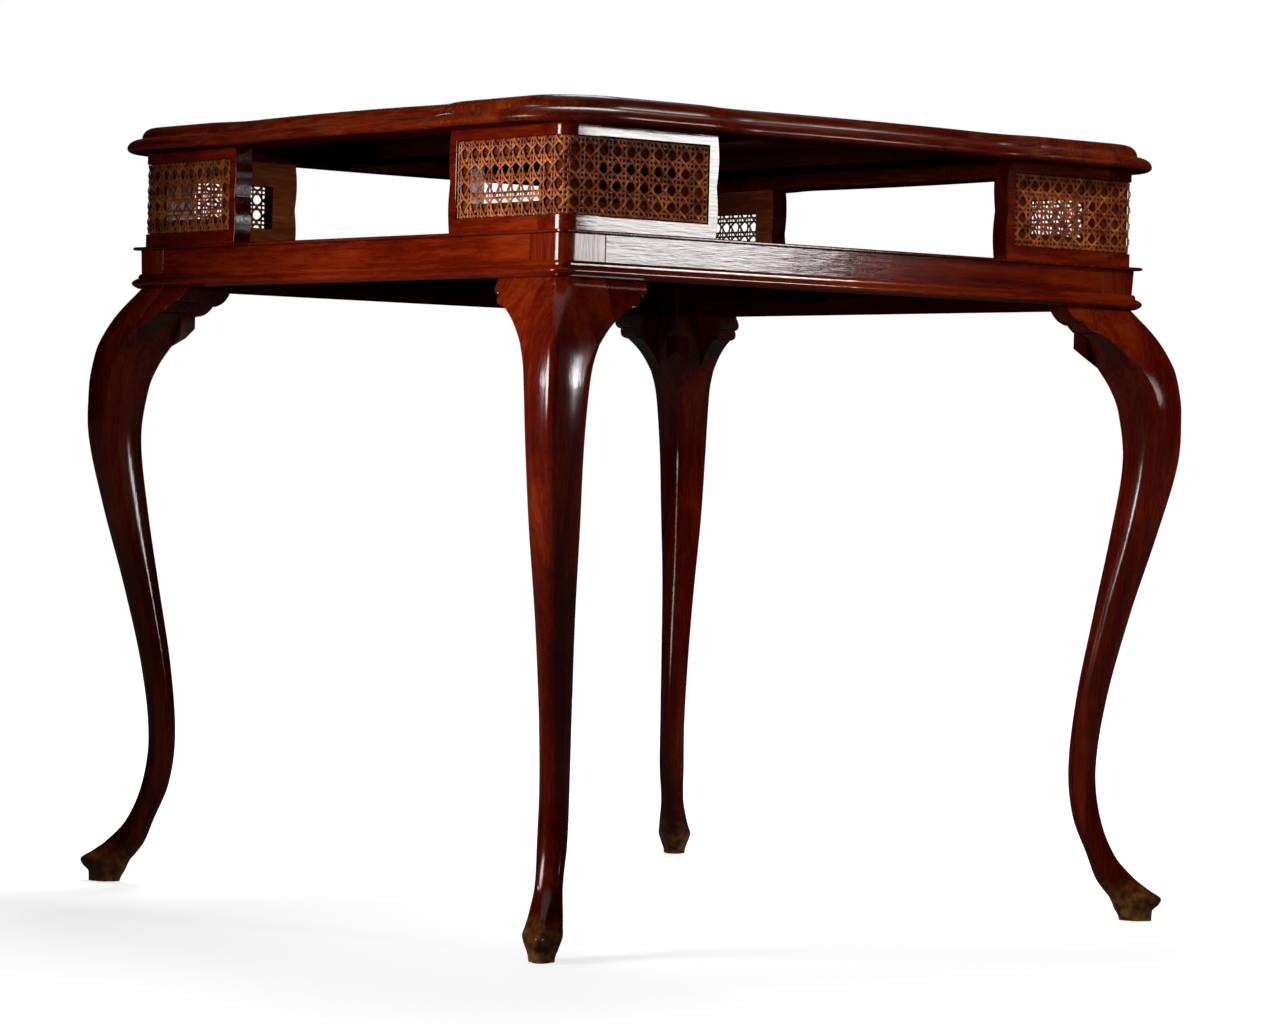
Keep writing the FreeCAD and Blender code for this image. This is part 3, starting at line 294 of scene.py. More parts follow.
def mahogany(axis, wear_and_sheen="", polish=0.8, haze=0.1):
    """Figured wood along an axis; the second argument is nothing, "feet" for rubbed feet, or "edge" for
    golden streaking along the grain that is partly rubbed polish and partly painted sheen.
    """
    material, tree, wood = new_material(f"mahogany along {axis}" + (f", worn {wear_and_sheen}" if wear_and_sheen else ""))
    where, along = grain_space(tree, GRAIN[axis])
    bands = noise(tree, along, 3.2, 5.0, 0.6, 0.7)
    fibres = noise(tree, along, 34.0, 3.0, 0.65)
    pores = noise(tree, along, 95.0, 2.0, 0.5)
    cloud = noise(tree, where, 7.0, 2.0, 0.5)
    figure = weighted(tree, bands, 0.62, fibres, 0.38)
    drift = product(tree, math_node(tree, "SUBTRACT", cloud, 0.5), 0.35)
    figure = total(tree, figure, drift)
    colour = ramp(tree, figure, (0.30, DEEP), (0.50, MIDDLE), (0.70, WARM))
    pore_mark = ramp(tree, pores, (0.30, PORE), (0.42, WHITE))
    colour = mix_colour(tree, 0.8, colour, pore_mark, "MULTIPLY")
    scuffs = noise(tree, where, 210.0, 2.0, 0.5)
    rough = total(tree, product(tree, scuffs, 0.12), 0.30)
    # Golden streaking along the grain on the top moulding: partly rubbed polish, partly a painted sheen in
    # place of reflections.
    if wear_and_sheen == "edge":
        wear_and_sheen_streaks = ramp(tree, noise(tree, along, 22.0, 4.0, 0.6), (0.50, BLACK), (0.68, WHITE))
        colour = mix_colour(tree, product(tree, wear_and_sheen_streaks, 0.45), colour, RUBBED_AND_PAINTED_SHEEN)
    if wear_and_sheen == "feet":
        height = node(tree, "ShaderNodeSeparateXYZ", {"Vector": where}).outputs["Z"]
        uneven = product(tree, noise(tree, where, 60.0), 0.03)
        low = ramp(tree, total(tree, height, uneven), (0.022, WHITE), (0.056, BLACK))
        rubbed = ramp(tree, noise(tree, where, 130.0, 3.0), (0.35, SCRAPED), (0.62, BARE))
        share = product(tree, low, 0.85)
        colour = mix_colour(tree, share, colour, rubbed)
        rough = total(tree, rough, product(tree, share, 0.3))
    waviness = noise(tree, where, 26.0, 3.0, 0.5)
    brushed = total(tree, waviness, product(tree, fibres, 0.5))
    wavy = bumped(tree, wood, brushed, 0.05, 0.004)
    laid_on = product(tree, polished_faces(tree), polish)
    feed(tree, wood, {"Base Color": colour, "Roughness": rough, "Coat Normal": wavy, "Coat Weight": laid_on})
    set_values(wood, {"Specular IOR Level": 0.0, "Coat IOR": 1.75, "Coat Roughness": haze})
    return material


WOOD = {axis: mahogany(axis) for axis in GRAIN}
LEG_WOOD = mahogany("z", "feet", haze=0.14)
# The top moulding's wood, whose golden streaking is partly painted sheen.
EDGE_WOOD = mahogany("x", "edge", polish=0.5, haze=0.24)
print("mahogany in", len(WOOD), "grain directions, with worn_and_sheened feet and edges")

# %% [markdown]
# ## Plain wood
# Undersides, bearers, blocks and the tray's hidden face were never polished. They are the same family of
# brown and dull, and their very dark tone is painted shade for the shadow inside and under the table. The
# wood behind the cane is dull too, its tone partly painted shade, and the inner faces of the screens are
# paler as painted light. One function makes all three, because only the tone differs.

# %% Unpolished wood
PLAIN_TONES = (0.012, 0.0025, 0.0010), (0.034, 0.008, 0.0025), (0.075, 0.022, 0.0070)


def plain_wood(name, lighter):
    material, tree, wood = new_material(name)
    where, along = grain_space(tree, GRAIN["x"])
    figure = weighted(tree, noise(tree, along, 5.0, 5.0, 0.6, 0.4), 0.6, noise(tree, along, 45.0, 3.0), 0.4)
    dark, middle, light = (tuple(lighter * value for value in tone) for tone in PLAIN_TONES)
    colour = ramp(tree, figure, (0.30, dark), (0.52, middle), (0.75, light))
    rough = total(tree, product(tree, noise(tree, where, 90.0), 0.2), 0.66)
    feed(tree, wood, {"Base Color": colour, "Roughness": rough})
    bumped(tree, wood, noise(tree, along, 60.0, 3.0), 0.25, 0.002)
    set_values(wood, {"Specular IOR Level": 0.0})
    return material


# Darkest tone: unpolished wood whose very dark colour is painted shade for hidden faces.
UNPOLISHED_PAINTED_SHADE = plain_wood("unpolished wood along x", 0.5)
# Middle tone: dull wood behind the cane, its dark colour partly painted shade.
RECESS_PAINTED_SHADE = plain_wood("dull wood behind the cane", 2.2)
# Palest tone: the screens' inner faces, made pale as painted light.
INSIDE_PAINTED_LIGHT = plain_wood("plain inner face", 8.0)
print("unpolished wood ready")

# %% [markdown]
# ## Cabriole legs
# A cabriole leg swells out under the frieze, draws in to a thin ankle and turns out again to a small pad
# foot. It is sawn to two side views and rounded by hand, so its section goes from a square on the diagonal
# at the knee to nearly a circle at the ankle. The stations give height, reach beyond the frieze corner,
# depth and width on the diagonal, and the rounding of the front corner and of the others. A smooth curve
# runs through them, sampled finely enough that no facet shows. Sculpting a leg by hand would do as well,
# but stations keep it on its solid, and one number mends one place. Behind the knee the square post runs
# on a little below the frieze before it is cut away.

# %% Stations of the leg
HEAD = POST_SIZE * ROOT2
LEG_STATIONS = [
    (FRIEZE_FOOT, 0.0, HEAD, HEAD, CORNER_ROUND, 1.2, 1.2),
    (570.0, 25.8, 84.0, 84.0, 9.0, 1.2, 1.2),
    (542.0, 42.5, 83.0, 80.5, 9.0, 8.0, 3.6),
    (520.0, 48.9, 76.0, 76.5, 9.0, 15.0, 6.0),
    (497.0, 52.0, 71.0, 73.0, 9.0, 16.5, 9.0),
    (448.0, 51.0, 64.6, 66.6, 9.0, 16.0, 12.4),
    (378.0, 35.5, 57.0, 57.0, 12.4, 12.4, 12.4),
    (298.0, 12.0, 47.2, 47.2, 12.4, 12.4, 12.4),
    (218.0, -8.0, 41.2, 41.2, 12.4, 12.4, 12.4),
    (148.0, -16.5, 39.6, 39.6, 13.8, 13.8, 13.8),
    (100.0, -11.0, 39.6, 39.6, 13.8, 13.8, 13.8),
    (62.0, 4.0, 39.5, 37.5, 12.4, 13.8, 13.8),
    (40.0, 21.8, 48.0, 41.5, 6.0, 12.4, 12.4),
    (29.5, 35.8, 54.6, 45.0, 5.0, 12.4, 12.4),
    (22.5, 46.5, 59.4, 47.5, 5.0, 12.4, 12.4),
    (16.0, 45.2, 54.6, 44.0, 6.0, 12.4, 12.4),
    (10.5, 39.8, 45.4, 37.0, 7.0, 9.0, 9.0),
    (5.0, 38.8, 41.0, 33.0, 7.0, 9.0, 9.0),
    (0.0, 38.6, 39.0, 31.5, 7.0, 9.0, 9.0),
]


def station_at(stations, gap, share):
    """Row on the smooth curve through the stations, at a share of one gap."""
    before, start = stations[max(gap - 1, 0)], stations[gap]
    end, after = stations[gap + 1], stations[min(gap + 2, len(stations) - 1)]
    run = end[0] - start[0]
    square, cube = share * share, share ** 3
    row = [start[0] + run * share]
    for low, first, last, high in zip(before[1:], start[1:], end[1:], after[1:]):
        lead = (last - low) / (end[0] - before[0]) * run
        leave = (high - first) / (after[0] - start[0]) * run
        row.append((2 * cube - 3 * square + 1) * first + (cube - 2 * square + share) * lead
                   + (3 * square - 2 * cube) * last + (cube - square) * leave)
    return row


def smooth_rows(stations, steps):
    rows = [station_at(stations, gap, k / steps) for gap in range(len(stations) - 1) for k in range(steps)]
    return rows + [list(stations[-1])]


ROWS_PER_GAP = 9
leg_rows = smooth_rows(LEG_STATIONS, ROWS_PER_GAP)
print(len(leg_rows), "sections from frieze to floor")

# %% Section of the leg
CORNER_STEPS, FACE_STEPS = 8, 6
FLAT_TO, SWELL_SHARE, SWELL_FULL = 540.0, 0.014, 530.0


def arc(centre, radius, start, end, steps):
    """Points of an arc in degrees, both ends included."""
    turns = [math.radians(start + (end - start) * k / steps) for k in range(steps + 1)]
    return [(centre[0] + radius * math.cos(t), centre[1] + radius * math.sin(t)) for t in turns]


def clamped(share):
    return min(max(share, 0.0), 1.0)


def leg_ring(height, out, depth, width, round_out, round_side, round_back):
    """Rounded square on the diagonal of the corner at +X +Y, its faces slightly swollen. Under the frieze
    the front corner is a narrow flat, which fades into the rounding of the knee."""
    swell = SWELL_SHARE * width * clamped((FRIEZE_FOOT - height) / (FRIEZE_FOOT - SWELL_FULL))
    tip = FRIEZE_HALF * ROOT2 + out
    side, middle = width / 2 - round_side * ROOT2, tip - depth / 2
    corners = ((tip - round_out * ROOT2, 0, round_out), (middle, side, round_side),
               (tip - depth + round_back * ROOT2, 0, round_back), (middle, -side, round_side))
    flat = clamped((height - FLAT_TO) / (FRIEZE_FOOT - FLAT_TO)) if height <= FRIEZE_FOOT else 0.0
    bows = [arc((u, v), radius - swell, quarter * 90 - 45, quarter * 90 + 45, CORNER_STEPS)
            for quarter, (u, v, radius) in enumerate(corners)]
    chord = bows[0][0][0]
    bows[0] = [(u + (chord - u) * flat, v) for u, v in bows[0]]
    ring = []
    for quarter, bow in enumerate(bows):
        ring += bow
        start, end = bow[-1], bows[(quarter + 1) % 4][0]
        way = math.radians(quarter * 90 + 45)
        for k in range(1, FACE_STEPS):
            share = k / FACE_STEPS
            off = swell * 4 * share * (1 - share)
            ring.append((start[0] + (end[0] - start[0]) * share + off * math.cos(way),
                         start[1] + (end[1] - start[1]) * share + off * math.sin(way)))
    return [((u - v) / ROOT2, (u + v) / ROOT2, height) for u, v in ring]


print(len(leg_ring(*LEG_STATIONS[0])), "points in a section")

# %% Legs
head_ring = [FRIEZE_HEAD, *LEG_STATIONS[0][1:]]
LEAN_FROM, LEAN_FULL = 560.0, 300.0
LEAN = {"front_right": (0.0, 0.0), "front_left": (0.0, 0.0),
        "back_right": (-2.7, -3.3), "back_left": (5.2, 0.6)}
STUB_SET_IN, STUB_SIDE, STUB_FOOT, STUB_SLOPE, STUB_TENON = 42.5, 17.0, 558.0, 0.55, 2
STUB_CORNER = FRIEZE_HALF - STUB_SET_IN
stub_square = [(STUB_CORNER + x * STUB_SIDE, STUB_CORNER + y * STUB_SIDE)
               for x, y in ((0, 0), (1, 0), (1, 1), (0, 1))]
stub_rings = [[(x, y, FRIEZE_FOOT + STUB_TENON) for x, y in stub_square],
              [(x, y, STUB_FOOT - STUB_SLOPE * (x + y - 2 * STUB_CORNER)) for x, y in stub_square]]


def joined(name, *parts):
    """One mesh of several, each left as it is."""
    work = bmesh.new()
    for part in parts:
        work.from_mesh(part)
        bpy.data.meshes.remove(part)
    whole = bpy.data.meshes.new(name)
    work.to_mesh(whole)
    work.free()
    return whole


def leaning_leg(corner, angle):
    """The leg's mesh, its shin a few millimetres off true, as no two were shaped alike by hand."""
    turned = Matrix.Rotation(-math.radians(angle), 3, "Z") @ Vector((*LEAN[corner], 0))
    rings = []
    for row in [head_ring, *leg_rows]:
        share = clamped((LEAN_FROM - row[0]) / (LEAN_FROM - LEAN_FULL))
        ease = share * share * (3 - 2 * share)
        rings.append([(x + turned.x * ease, y + turned.y * ease, z) for x, y, z in leg_ring(*row)])
    shin, post = mesh_from_rings("shin", rings), mesh_from_rings("post", stub_rings)
    return joined(f"cabriole leg {corner}", shin, post)


for corner, angle in CORNERS.items():
    leg_mesh = leaning_leg(corner, angle)
    leg = place(f"carved_leg_{corner}", leg_mesh, angle, [f"leg_{corner}"], LEG_WOOD)
    soften(leg, 0.3, segments=1, angle=40)
print("legs:", len(leg_mesh.vertices), "points each")

# %% [markdown]
# ## Knee brackets
# Each knee has an ear glued on either side, shaped to the same swelling, with two small lobes at its tip.
# A flat board cut to the outline would miss the swelling, so the ear is a curtain of columns that hang
# from the frieze down to the sawn outline. Its face follows the knee's curve, and is rounded back along
# the sawn edge so that it runs out on the leg without a step.

# %% Knee brackets
EAR_SET_BACK = 0.8
EAR_FACE = FRIEZE_HALF - EAR_SET_BACK


def knee_face(height):
    """How far the knee's face stands out at a height."""
    for upper, lower in zip(leg_rows, leg_rows[1:]):
        if lower[0] <= height <= upper[0]:
            share = (upper[0] - height) / (upper[0] - lower[0])
            return EAR_FACE + (upper[1] + (lower[1] - upper[1]) * share) / ROOT2
    return EAR_FACE


def bent(start, end, bulge, steps):
    """Points of a shallow curve; bulge is to the right of the way it runs."""
    run, rise = end[0] - start[0], end[1] - start[1]
    length = math.hypot(run, rise)
    points = []
    for k in range(steps + 1):
        share = k / steps
        off = 4 * bulge * share * (1 - share) / length
        points.append((start[0] + run * share + rise * off, start[1] + rise * share - run * off))
    return points


EAR_MARKS = [(259.0, 596.0), (270.5, 582.0), (272.0, 583.5), (287.0, 571.5), (335.0, 527.0)]
EAR_LOBE, EAR_HOLLOW = 3.6, -5.0
ear_edge = (bent(*EAR_MARKS[:2], EAR_LOBE, 10) + bent(*EAR_MARKS[2:4], EAR_LOBE, 10)
            + bent(*EAR_MARKS[3:], EAR_HOLLOW, 16)[1:])
EAR_ROWS, EAR_THICKNESS = 18, 25.0
EDGE_ROUND, BLEND_ROUND, BLEND_FROM = 1.6, 11.0, 0.45


def ear_setback(x, z):
    """How far the ear's face is rounded back near its sawn edge: little at the tip, and as much as the
    leg's own corner where the ear runs out on the leg."""
    nearest, share = math.inf, 0.0
    for index, (start, end) in enumerate(zip(ear_edge, ear_edge[1:])):
        run, rise = end[0] - start[0], end[1] - start[1]
        along = clamped(((x - start[0]) * run + (z - start[1]) * rise) / max(run * run + rise * rise, 1e-9))
        gap = math.hypot(x - start[0] - along * run, z - start[1] - along * rise)
        if gap < nearest:
            nearest, share = gap, (index + along) / (len(ear_edge) - 1)
    blend = max(share - BLEND_FROM, 0.0) / (1 - BLEND_FROM)
    radius = EDGE_ROUND + (BLEND_ROUND - EDGE_ROUND) * blend ** 1.5
    inside = max(radius - nearest, 0.0)
    return radius - math.sqrt(radius * radius - inside * inside)


def ear_mesh(hand):
    front, back = [], []
    for x, low in ear_edge:
        shares = [1 - (1 - k / EAR_ROWS) ** 2 for k in range(EAR_ROWS + 1)]
        heights = [FRIEZE_FOOT + (low - FRIEZE_FOOT) * share for share in shares]
        front.append([(hand * x, ear_setback(x, z) - knee_face(z), z) for z in heights])
        back.append([(hand * x, EAR_THICKNESS - knee_face(z), z) for z in reversed(heights)])
    return mesh_from_rings(f"knee bracket {hand}", [f + b for f, b in zip(front, back)])


ear_meshes = {hand: ear_mesh(hand) for hand in (-1, 1)}
for side, hand, end in HANDED_ENDS:
    label = f"knee_bracket_{side}_rail_{end}"
    ear = place(f"carved_{label}", ear_meshes[hand], SIDES[side], [label], LEG_WOOD)
    soften(ear, 0.6, angle=50)
print("knee brackets:", len(HANDED_ENDS))

# %% [markdown]
# ## Frieze
# The rails are plain boards between the legs' square heads, so their solids are right as they are and
# only get their wood. The bead along their foot is a small run moulding: its section is drawn once and
# carried along the side and half-way round each corner, where it meets the next in a mitre.

# %% Frieze rails and bead
def refinish(label, material):
    """Gives a solid of the frame its wood, and leaves its shape alone."""
    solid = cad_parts[label]
    solid.data.materials.clear()
    solid.data.materials.append(material)
    return solid


for side in SIDES:
    refinish(f"frieze_rail_{side}", WOOD["x" if side in ("front", "back") else "y"])


def side_sections(profile, half, radius, steps):
    """A section of (out, height) points carried along the front and half-way round both corners."""
    centre = half - radius
    rings = []
    for degrees in [-135 + 45 * k / steps for k in range(steps + 1)]:
        way = math.radians(degrees)
        cosine, sine = math.cos(way), math.sin(way)
        rings.append([(-centre + (radius + out) * cosine, -centre + (radius + out) * sine, z)
                      for out, z in profile])
    return rings + [[(-x, y, z) for x, y, z in ring] for ring in reversed(rings)]


BEAD_HEAD, COVE_FOOT, ROUND_HEAD = 611.5, 608.4, 607.4
COVE_HEAD_OUT, ROUND_OUT, COVE_DEPTH, ROUND_RISE = 0.5, 2.2, 0.5, 6.6
bead_profile = ([(0.0, FRIEZE_FOOT), (0.0, BEAD_HEAD)]
                + bent((COVE_HEAD_OUT, BEAD_HEAD), (ROUND_OUT, COVE_FOOT), -COVE_DEPTH, 5)
                + bent((ROUND_OUT, ROUND_HEAD), (ROUND_OUT, FRIEZE_FOOT), -ROUND_RISE, 14))
bead_mesh = mesh_from_rings("frieze bead", side_sections(bead_profile, FRIEZE_HALF, CORNER_ROUND, 8))
for side, angle in SIDES.items():
    place(f"run_bead_{side}", bead_mesh, angle, [f"frieze_bead_{side}"], WOOD["x"])
print("bead:", len(bead_profile), "points in its section")

# %% [markdown]
# ## Tray board
# The tray's board lies inside the rails and its thin lip runs out over them with a rounded edge. The lip
# is a stack of rounded squares; the board below is one notched outline. One bevelled block could be both,
# but the underside is left unpolished and very dark as painted shade, so it is a mesh of its own.

# %% Tray
LIP_HALF, LIP_CORNER = 358.6, 7.0


def rounded_square(half, radius, height, steps=8):
    reach = half - radius
    ring = []
    for quarter, (x, y) in enumerate(((1, 1), (-1, 1), (-1, -1), (1, -1))):
        ring += [(px, py, height) for px, py in
                 arc((x * reach, y * reach), radius, quarter * 90, quarter * 90 + 90, steps)]
    return ring


lip_edge = [(FRIEZE_HEAD, 1.2), (635.9, 0.4), (636.5, 0.0), (637.5, 0.0), (638.1, 0.4), (TRAY_TOP, 1.2)]
lip_mesh = mesh_from_rings("tray lip", [rounded_square(LIP_HALF - inset, LIP_CORNER - inset, z)
                                        for z, inset in lip_edge])
place("tray_lip", lip_mesh, 0, ["tray_board"], WOOD["x"])
NOTCH, BOARD_EDGE, BOARD_FOOT = 304.8, 330.8, 628.5
notched = []
for quarter in range(4):
    turn = Matrix.Rotation(math.radians(90 * quarter), 3, "Z")
    notched += [turn @ Vector((*point, 0))
                for point in ((BOARD_EDGE, NOTCH), (NOTCH, NOTCH), (NOTCH, BOARD_EDGE))]
board_mesh = mesh_from_rings("tray board", [[(point.x, point.y, z) for point in notched]
                                            for z in (BOARD_FOOT, FRIEZE_HEAD)])
# The tray's underside is unpolished and very dark as painted shade.
place("tray_underside", board_mesh, 0, ["tray_board"], UNPOLISHED_PAINTED_SHADE)
print("tray lip", 2 * LIP_HALF, "mm square")

# %% [markdown]
# ## Caned screens
# Each corner screen is a post with a board on either side. The free end of a board is sawn into two
# shallow lobes that meet in a notch. A shallow rebate takes the cane and a window behind it lets light
# through. The board is drawn as an outline, thickened, and the rebate and window are cut by booleans,
# as a joiner would cut them.

# %% Cutting a mesh
def box_mesh(name, low, high):
    (x0, y0, z0), (x1, y1, z1) = low, high
    ring = ((x0, y0), (x1, y0), (x1, y1), (x0, y1))
    return mesh_from_rings(name, [[(x, y, z) for x, y in ring] for z in (z0, z1)])


def cut_from(mesh, cutters, name):
    """The mesh with each cutter's volume taken away."""
    work = new_object(name, mesh)
    tools = [new_object("cutter", cutter) for cutter in cutters]
    for tool in tools:
        cut = work.modifiers.new("cut", "BOOLEAN")
        cut.operation = "DIFFERENCE"
        cut.solver = "EXACT"
        cut.object = tool
    bpy.context.view_layer.update()
    made = bpy.data.meshes.new_from_object(work.evaluated_get(bpy.context.evaluated_depsgraph_get()))
    for extra in [work, *tools]:
        bpy.data.objects.remove(extra)
    made.name = name
    tidy_mesh(made)
    return made


print("cutters ready")

# %% Screen boards
LOBE_RISE, LOBE_STEPS, WAIST, CUT_PAST = 2.0, 18, 685.0, 2
FREE_END, REBATE_START = 177.5, 189.0
WINDOW = (207.0, 309.5, 664.7, 707.4)


def lobe(x, high, low):
    return [(x + LOBE_RISE - LOBE_RISE * math.sin(math.pi * k / LOBE_STEPS),
             high + (low - high) * k / LOBE_STEPS) for k in range(LOBE_STEPS + 1)]


board_outline = ([(SCREEN_POST_SIDE, TRAY_TOP), (SCREEN_POST_SIDE, TOP_FOOT)]
                 + lobe(FREE_END, TOP_FOOT, WAIST) + lobe(FREE_END, WAIST, TRAY_TOP)[1:])


def dull_recess(mesh, finish_of):
    """Polish, dull wood darkened partly as painted shade, and plain wood paled as painted light, on a mesh,
    picked from a face's middle and its way.
    """
    for finish in (WOOD["x"], RECESS_PAINTED_SHADE, INSIDE_PAINTED_LIGHT):
        mesh.materials.append(finish)
    for face in mesh.polygons:
        face.material_index = finish_of(face.center / MM, face.normal)
    return mesh


def board_finish(middle, way):
    """Finish of a face of a front board: 0 polish, 1 dull behind the cane and darkened partly as painted
    shade, 2 plain inside and paled as painted light.
    """
    behind_cane = way.y < -0.9 and abs(middle.y + SCREEN_FACE - REBATE_DEPTH) < 0.1
    return 2 if way.y > 0.9 else int(behind_cane)


def weigh_arrises(mesh):
    """Marks the sharp edges to be eased, but none where the board meets its post."""
    weights = mesh.attributes.new("bevel_weight_edge", "FLOAT", "EDGE").data
    sharp = mesh.attributes["sharp_edge"].data
    for edge in mesh.edges:
        at_post = all(abs(abs(mesh.vertices[k].co.x) / MM - SCREEN_POST_SIDE) < 0.1 for k in edge.vertices)
        weights[edge.index].value = 1.0 if sharp[edge.index].value and not at_post else 0.0


def board_mesh_for(hand):
    body = mesh_from_rings(f"screen board {hand}", [[(hand * x, -y, z) for x, z in board_outline]
                                                    for y in (SCREEN_FACE, SCREEN_BACK)])
    before = -SCREEN_FACE - CUT_PAST
    left, right = sorted((hand * REBATE_START, hand * (SCREEN_POST_SIDE + CUT_PAST)))
    rebate = box_mesh("rebate", (left, before, CANE_FOOT), (right, REBATE_DEPTH - SCREEN_FACE, CANE_HEAD))
    left, right = sorted((hand * WINDOW[0], hand * WINDOW[1]))
    window = box_mesh("window", (left, before, WINDOW[2]), (right, CUT_PAST - SCREEN_BACK, WINDOW[3]))
    cut = cut_from(body, [rebate, window], f"screen board {hand}")
    weigh_arrises(cut)
    return dull_recess(cut, board_finish)


board_meshes = {hand: board_mesh_for(hand) for hand in (-1, 1)}
for side, hand, end in HANDED_ENDS:
    label = f"screen_plank_{side}_{end}"
    board = place(f"cut_{label}", board_meshes[hand], SIDES[side], [label])
    soften(board, 0.5).limit_method = "WEIGHT"
print("screen boards:", {hand: len(mesh.polygons) for hand, mesh in board_meshes.items()}, "faces")

# %% Screen posts
POST_STEPS = 12


def post_ring(sunk, height):
    low, face = SCREEN_POST_SIDE, SCREEN_FACE - sunk
    bend = SCREEN_FACE - SCREEN_ROUND
    rounded = arc((bend, bend), SCREEN_ROUND - sunk, 0, 90, POST_STEPS)
    return [(x, y, height) for x, y in [(low, low), (face, low), *rounded, (low, face)]]


def post_finish(middle, way):
    """Finish of a face of a post: 1 dull where the cane lies on it, darkened partly as painted shade, 0
    polish.
    """
    return int(way.x + way.y > 0.5 and CANE_FOOT + 1 < middle.z < CANE_HEAD - 1)


post_mesh = mesh_from_rings("screen post", [
    post_ring(0, TRAY_TOP), post_ring(0, CANE_FOOT), post_ring(REBATE_DEPTH, CANE_FOOT),
    post_ring(REBATE_DEPTH, CANE_HEAD), post_ring(0, CANE_HEAD), post_ring(0, TOP_FOOT)])
dull_recess(post_mesh, post_finish)
for corner, angle in CORNERS.items():
    place(f"shaped_post_{corner}", post_mesh, angle, [f"screen_post_{corner}"])
print("screen posts:", len(CORNERS))

# %% [markdown]
# ## Woven cane
# The cane is the six-way weave: pairs of upright and level strands, and two sets of diagonals that cut
# the corners of the squares, so that eight-sided gaps are left. One set of diagonals passes over the
# uprights and under the levels, the other set the other way about. A flat sheet with holes would look
# thin from the side, so every strand is a mesh. The weave is worked out on a flat strip and then bent
# round the screen's corner, because one piece of cane covers both sides.

# %% Cane finish
CANE_TONES = (0.080, 0.013, 0.002), (0.230, 0.050, 0.010), (0.430, 0.125, 0.030)


def cane_finish(name, paler):
    material, tree, strand = new_material(name)
    where, along = grain_space(tree, EVENLY)
    tone = noise(tree, along, 60.0, 4.0, 0.6)
    dark, middle, light = (tuple(paler * value for value in tone_of) for tone_of in CANE_TONES)
    colour = ramp(tree, tone, (0.32, dark), (0.52, middle), (0.70, light))
    rough = total(tree, product(tree, noise(tree, where, 400.0), 0.2), 0.24)
    feed(tree, strand, {"Base Color": colour, "Roughness": rough})
    set_values(strand, {"Specular IOR Level": 0.1, "Coat Weight": 0.42, "Coat Roughness": 0.16})
    return material


CANE = cane_finish("varnished cane", 1.0)
# The diagonal strands are the same cane made 1.4 times paler, a painted highlight for the glints they catch.
SLANT_CANE_PAINTED_HIGHLIGHT = cane_finish("varnished cane on the slant", 1.4)
print("cane finish ready")

# %% Cane strands
PITCH, PAIR_HALF, STRAND_HALF, STRAND_THICK, WAVE = 15.5, 2.15, 1.05, 0.5, 0.85
SLANT_HALF, SLANT_LIFT, UPRIGHT_LIFT, LEVEL_WAVE = 1.15, 0.55, 0.12, 0.35
CANE_MIDDLE, CANE_CLEAR, TOP_CLEAR = 2.2, 1.2, 1.0
STRAND_STEP = PITCH / 8
BEND_START = SCREEN_FACE - SCREEN_ROUND
FLAT_RUN = BEND_START - REBATE_START - CANE_CLEAR
CANE_RADIUS = SCREEN_ROUND - CANE_MIDDLE
TURN_RUN = CANE_RADIUS * math.pi / 2
HALF_RUN = FLAT_RUN + TURN_RUN / 2
HALF_RISE = (CANE_HEAD - CANE_FOOT) / 2 - TOP_CLEAR
FLATS = 6
SECTION = [(math.cos(2 * math.pi * k / FLATS), math.sin(2 * math.pi * k / FLATS)) for k in range(FLATS)]


def bend_round(run, rise, lift):
    """A place on the flat strip, brought round the corner at +X +Y; run 0 is the corner's middle."""
    z = (CANE_FOOT + CANE_HEAD) / 2 + rise
    face = SCREEN_FACE - CANE_MIDDLE + lift
    if abs(run) <= TURN_RUN / 2:
        way = math.pi / 4 + run / CANE_RADIUS
        radius = CANE_RADIUS + lift
        return (BEND_START + radius * math.cos(way), BEND_START + radius * math.sin(way), z)
    along = BEND_START - (abs(run) - TURN_RUN / 2)
    return (along, face, z) if run > 0 else (face, along, z)


def strand(path, points, faces, half_width):
    """A flat-oval strand along a path of (run, rise, lift)."""
    first = len(points)
    for index, (run, rise, lift) in enumerate(path):
        before, after = path[max(index - 1, 0)], path[min(index + 1, len(path) - 1)]
        dx, dz = after[0] - before[0], after[1] - before[1]
        length = math.hypot(dx, dz) or 1.0
        for across, up in SECTION:
            aside = across * half_width
            points.append(bend_round(run - dz / length * aside, rise + dx / length * aside,
                                     lift + up * STRAND_THICK))
    for row in range(len(path) - 1):
        here, there = first + row * FLATS, first + (row + 1) * FLATS
        for k in range(FLATS):
            after = (k + 1) % FLATS
            faces.append((here + k, here + after, there + after, there + k))
    faces.append(tuple(first + k for k in reversed(range(FLATS))))
    faces.append(tuple(first + (len(path) - 1) * FLATS + k for k in range(FLATS)))


def samples(low, high):
    count = max(int(math.ceil((high - low) / STRAND_STEP)), 1)
    return [low + (high - low) * k / count for k in range(count + 1)]


print("cane strip", round(2 * HALF_RUN), "by", round(2 * HALF_RISE), "mm")

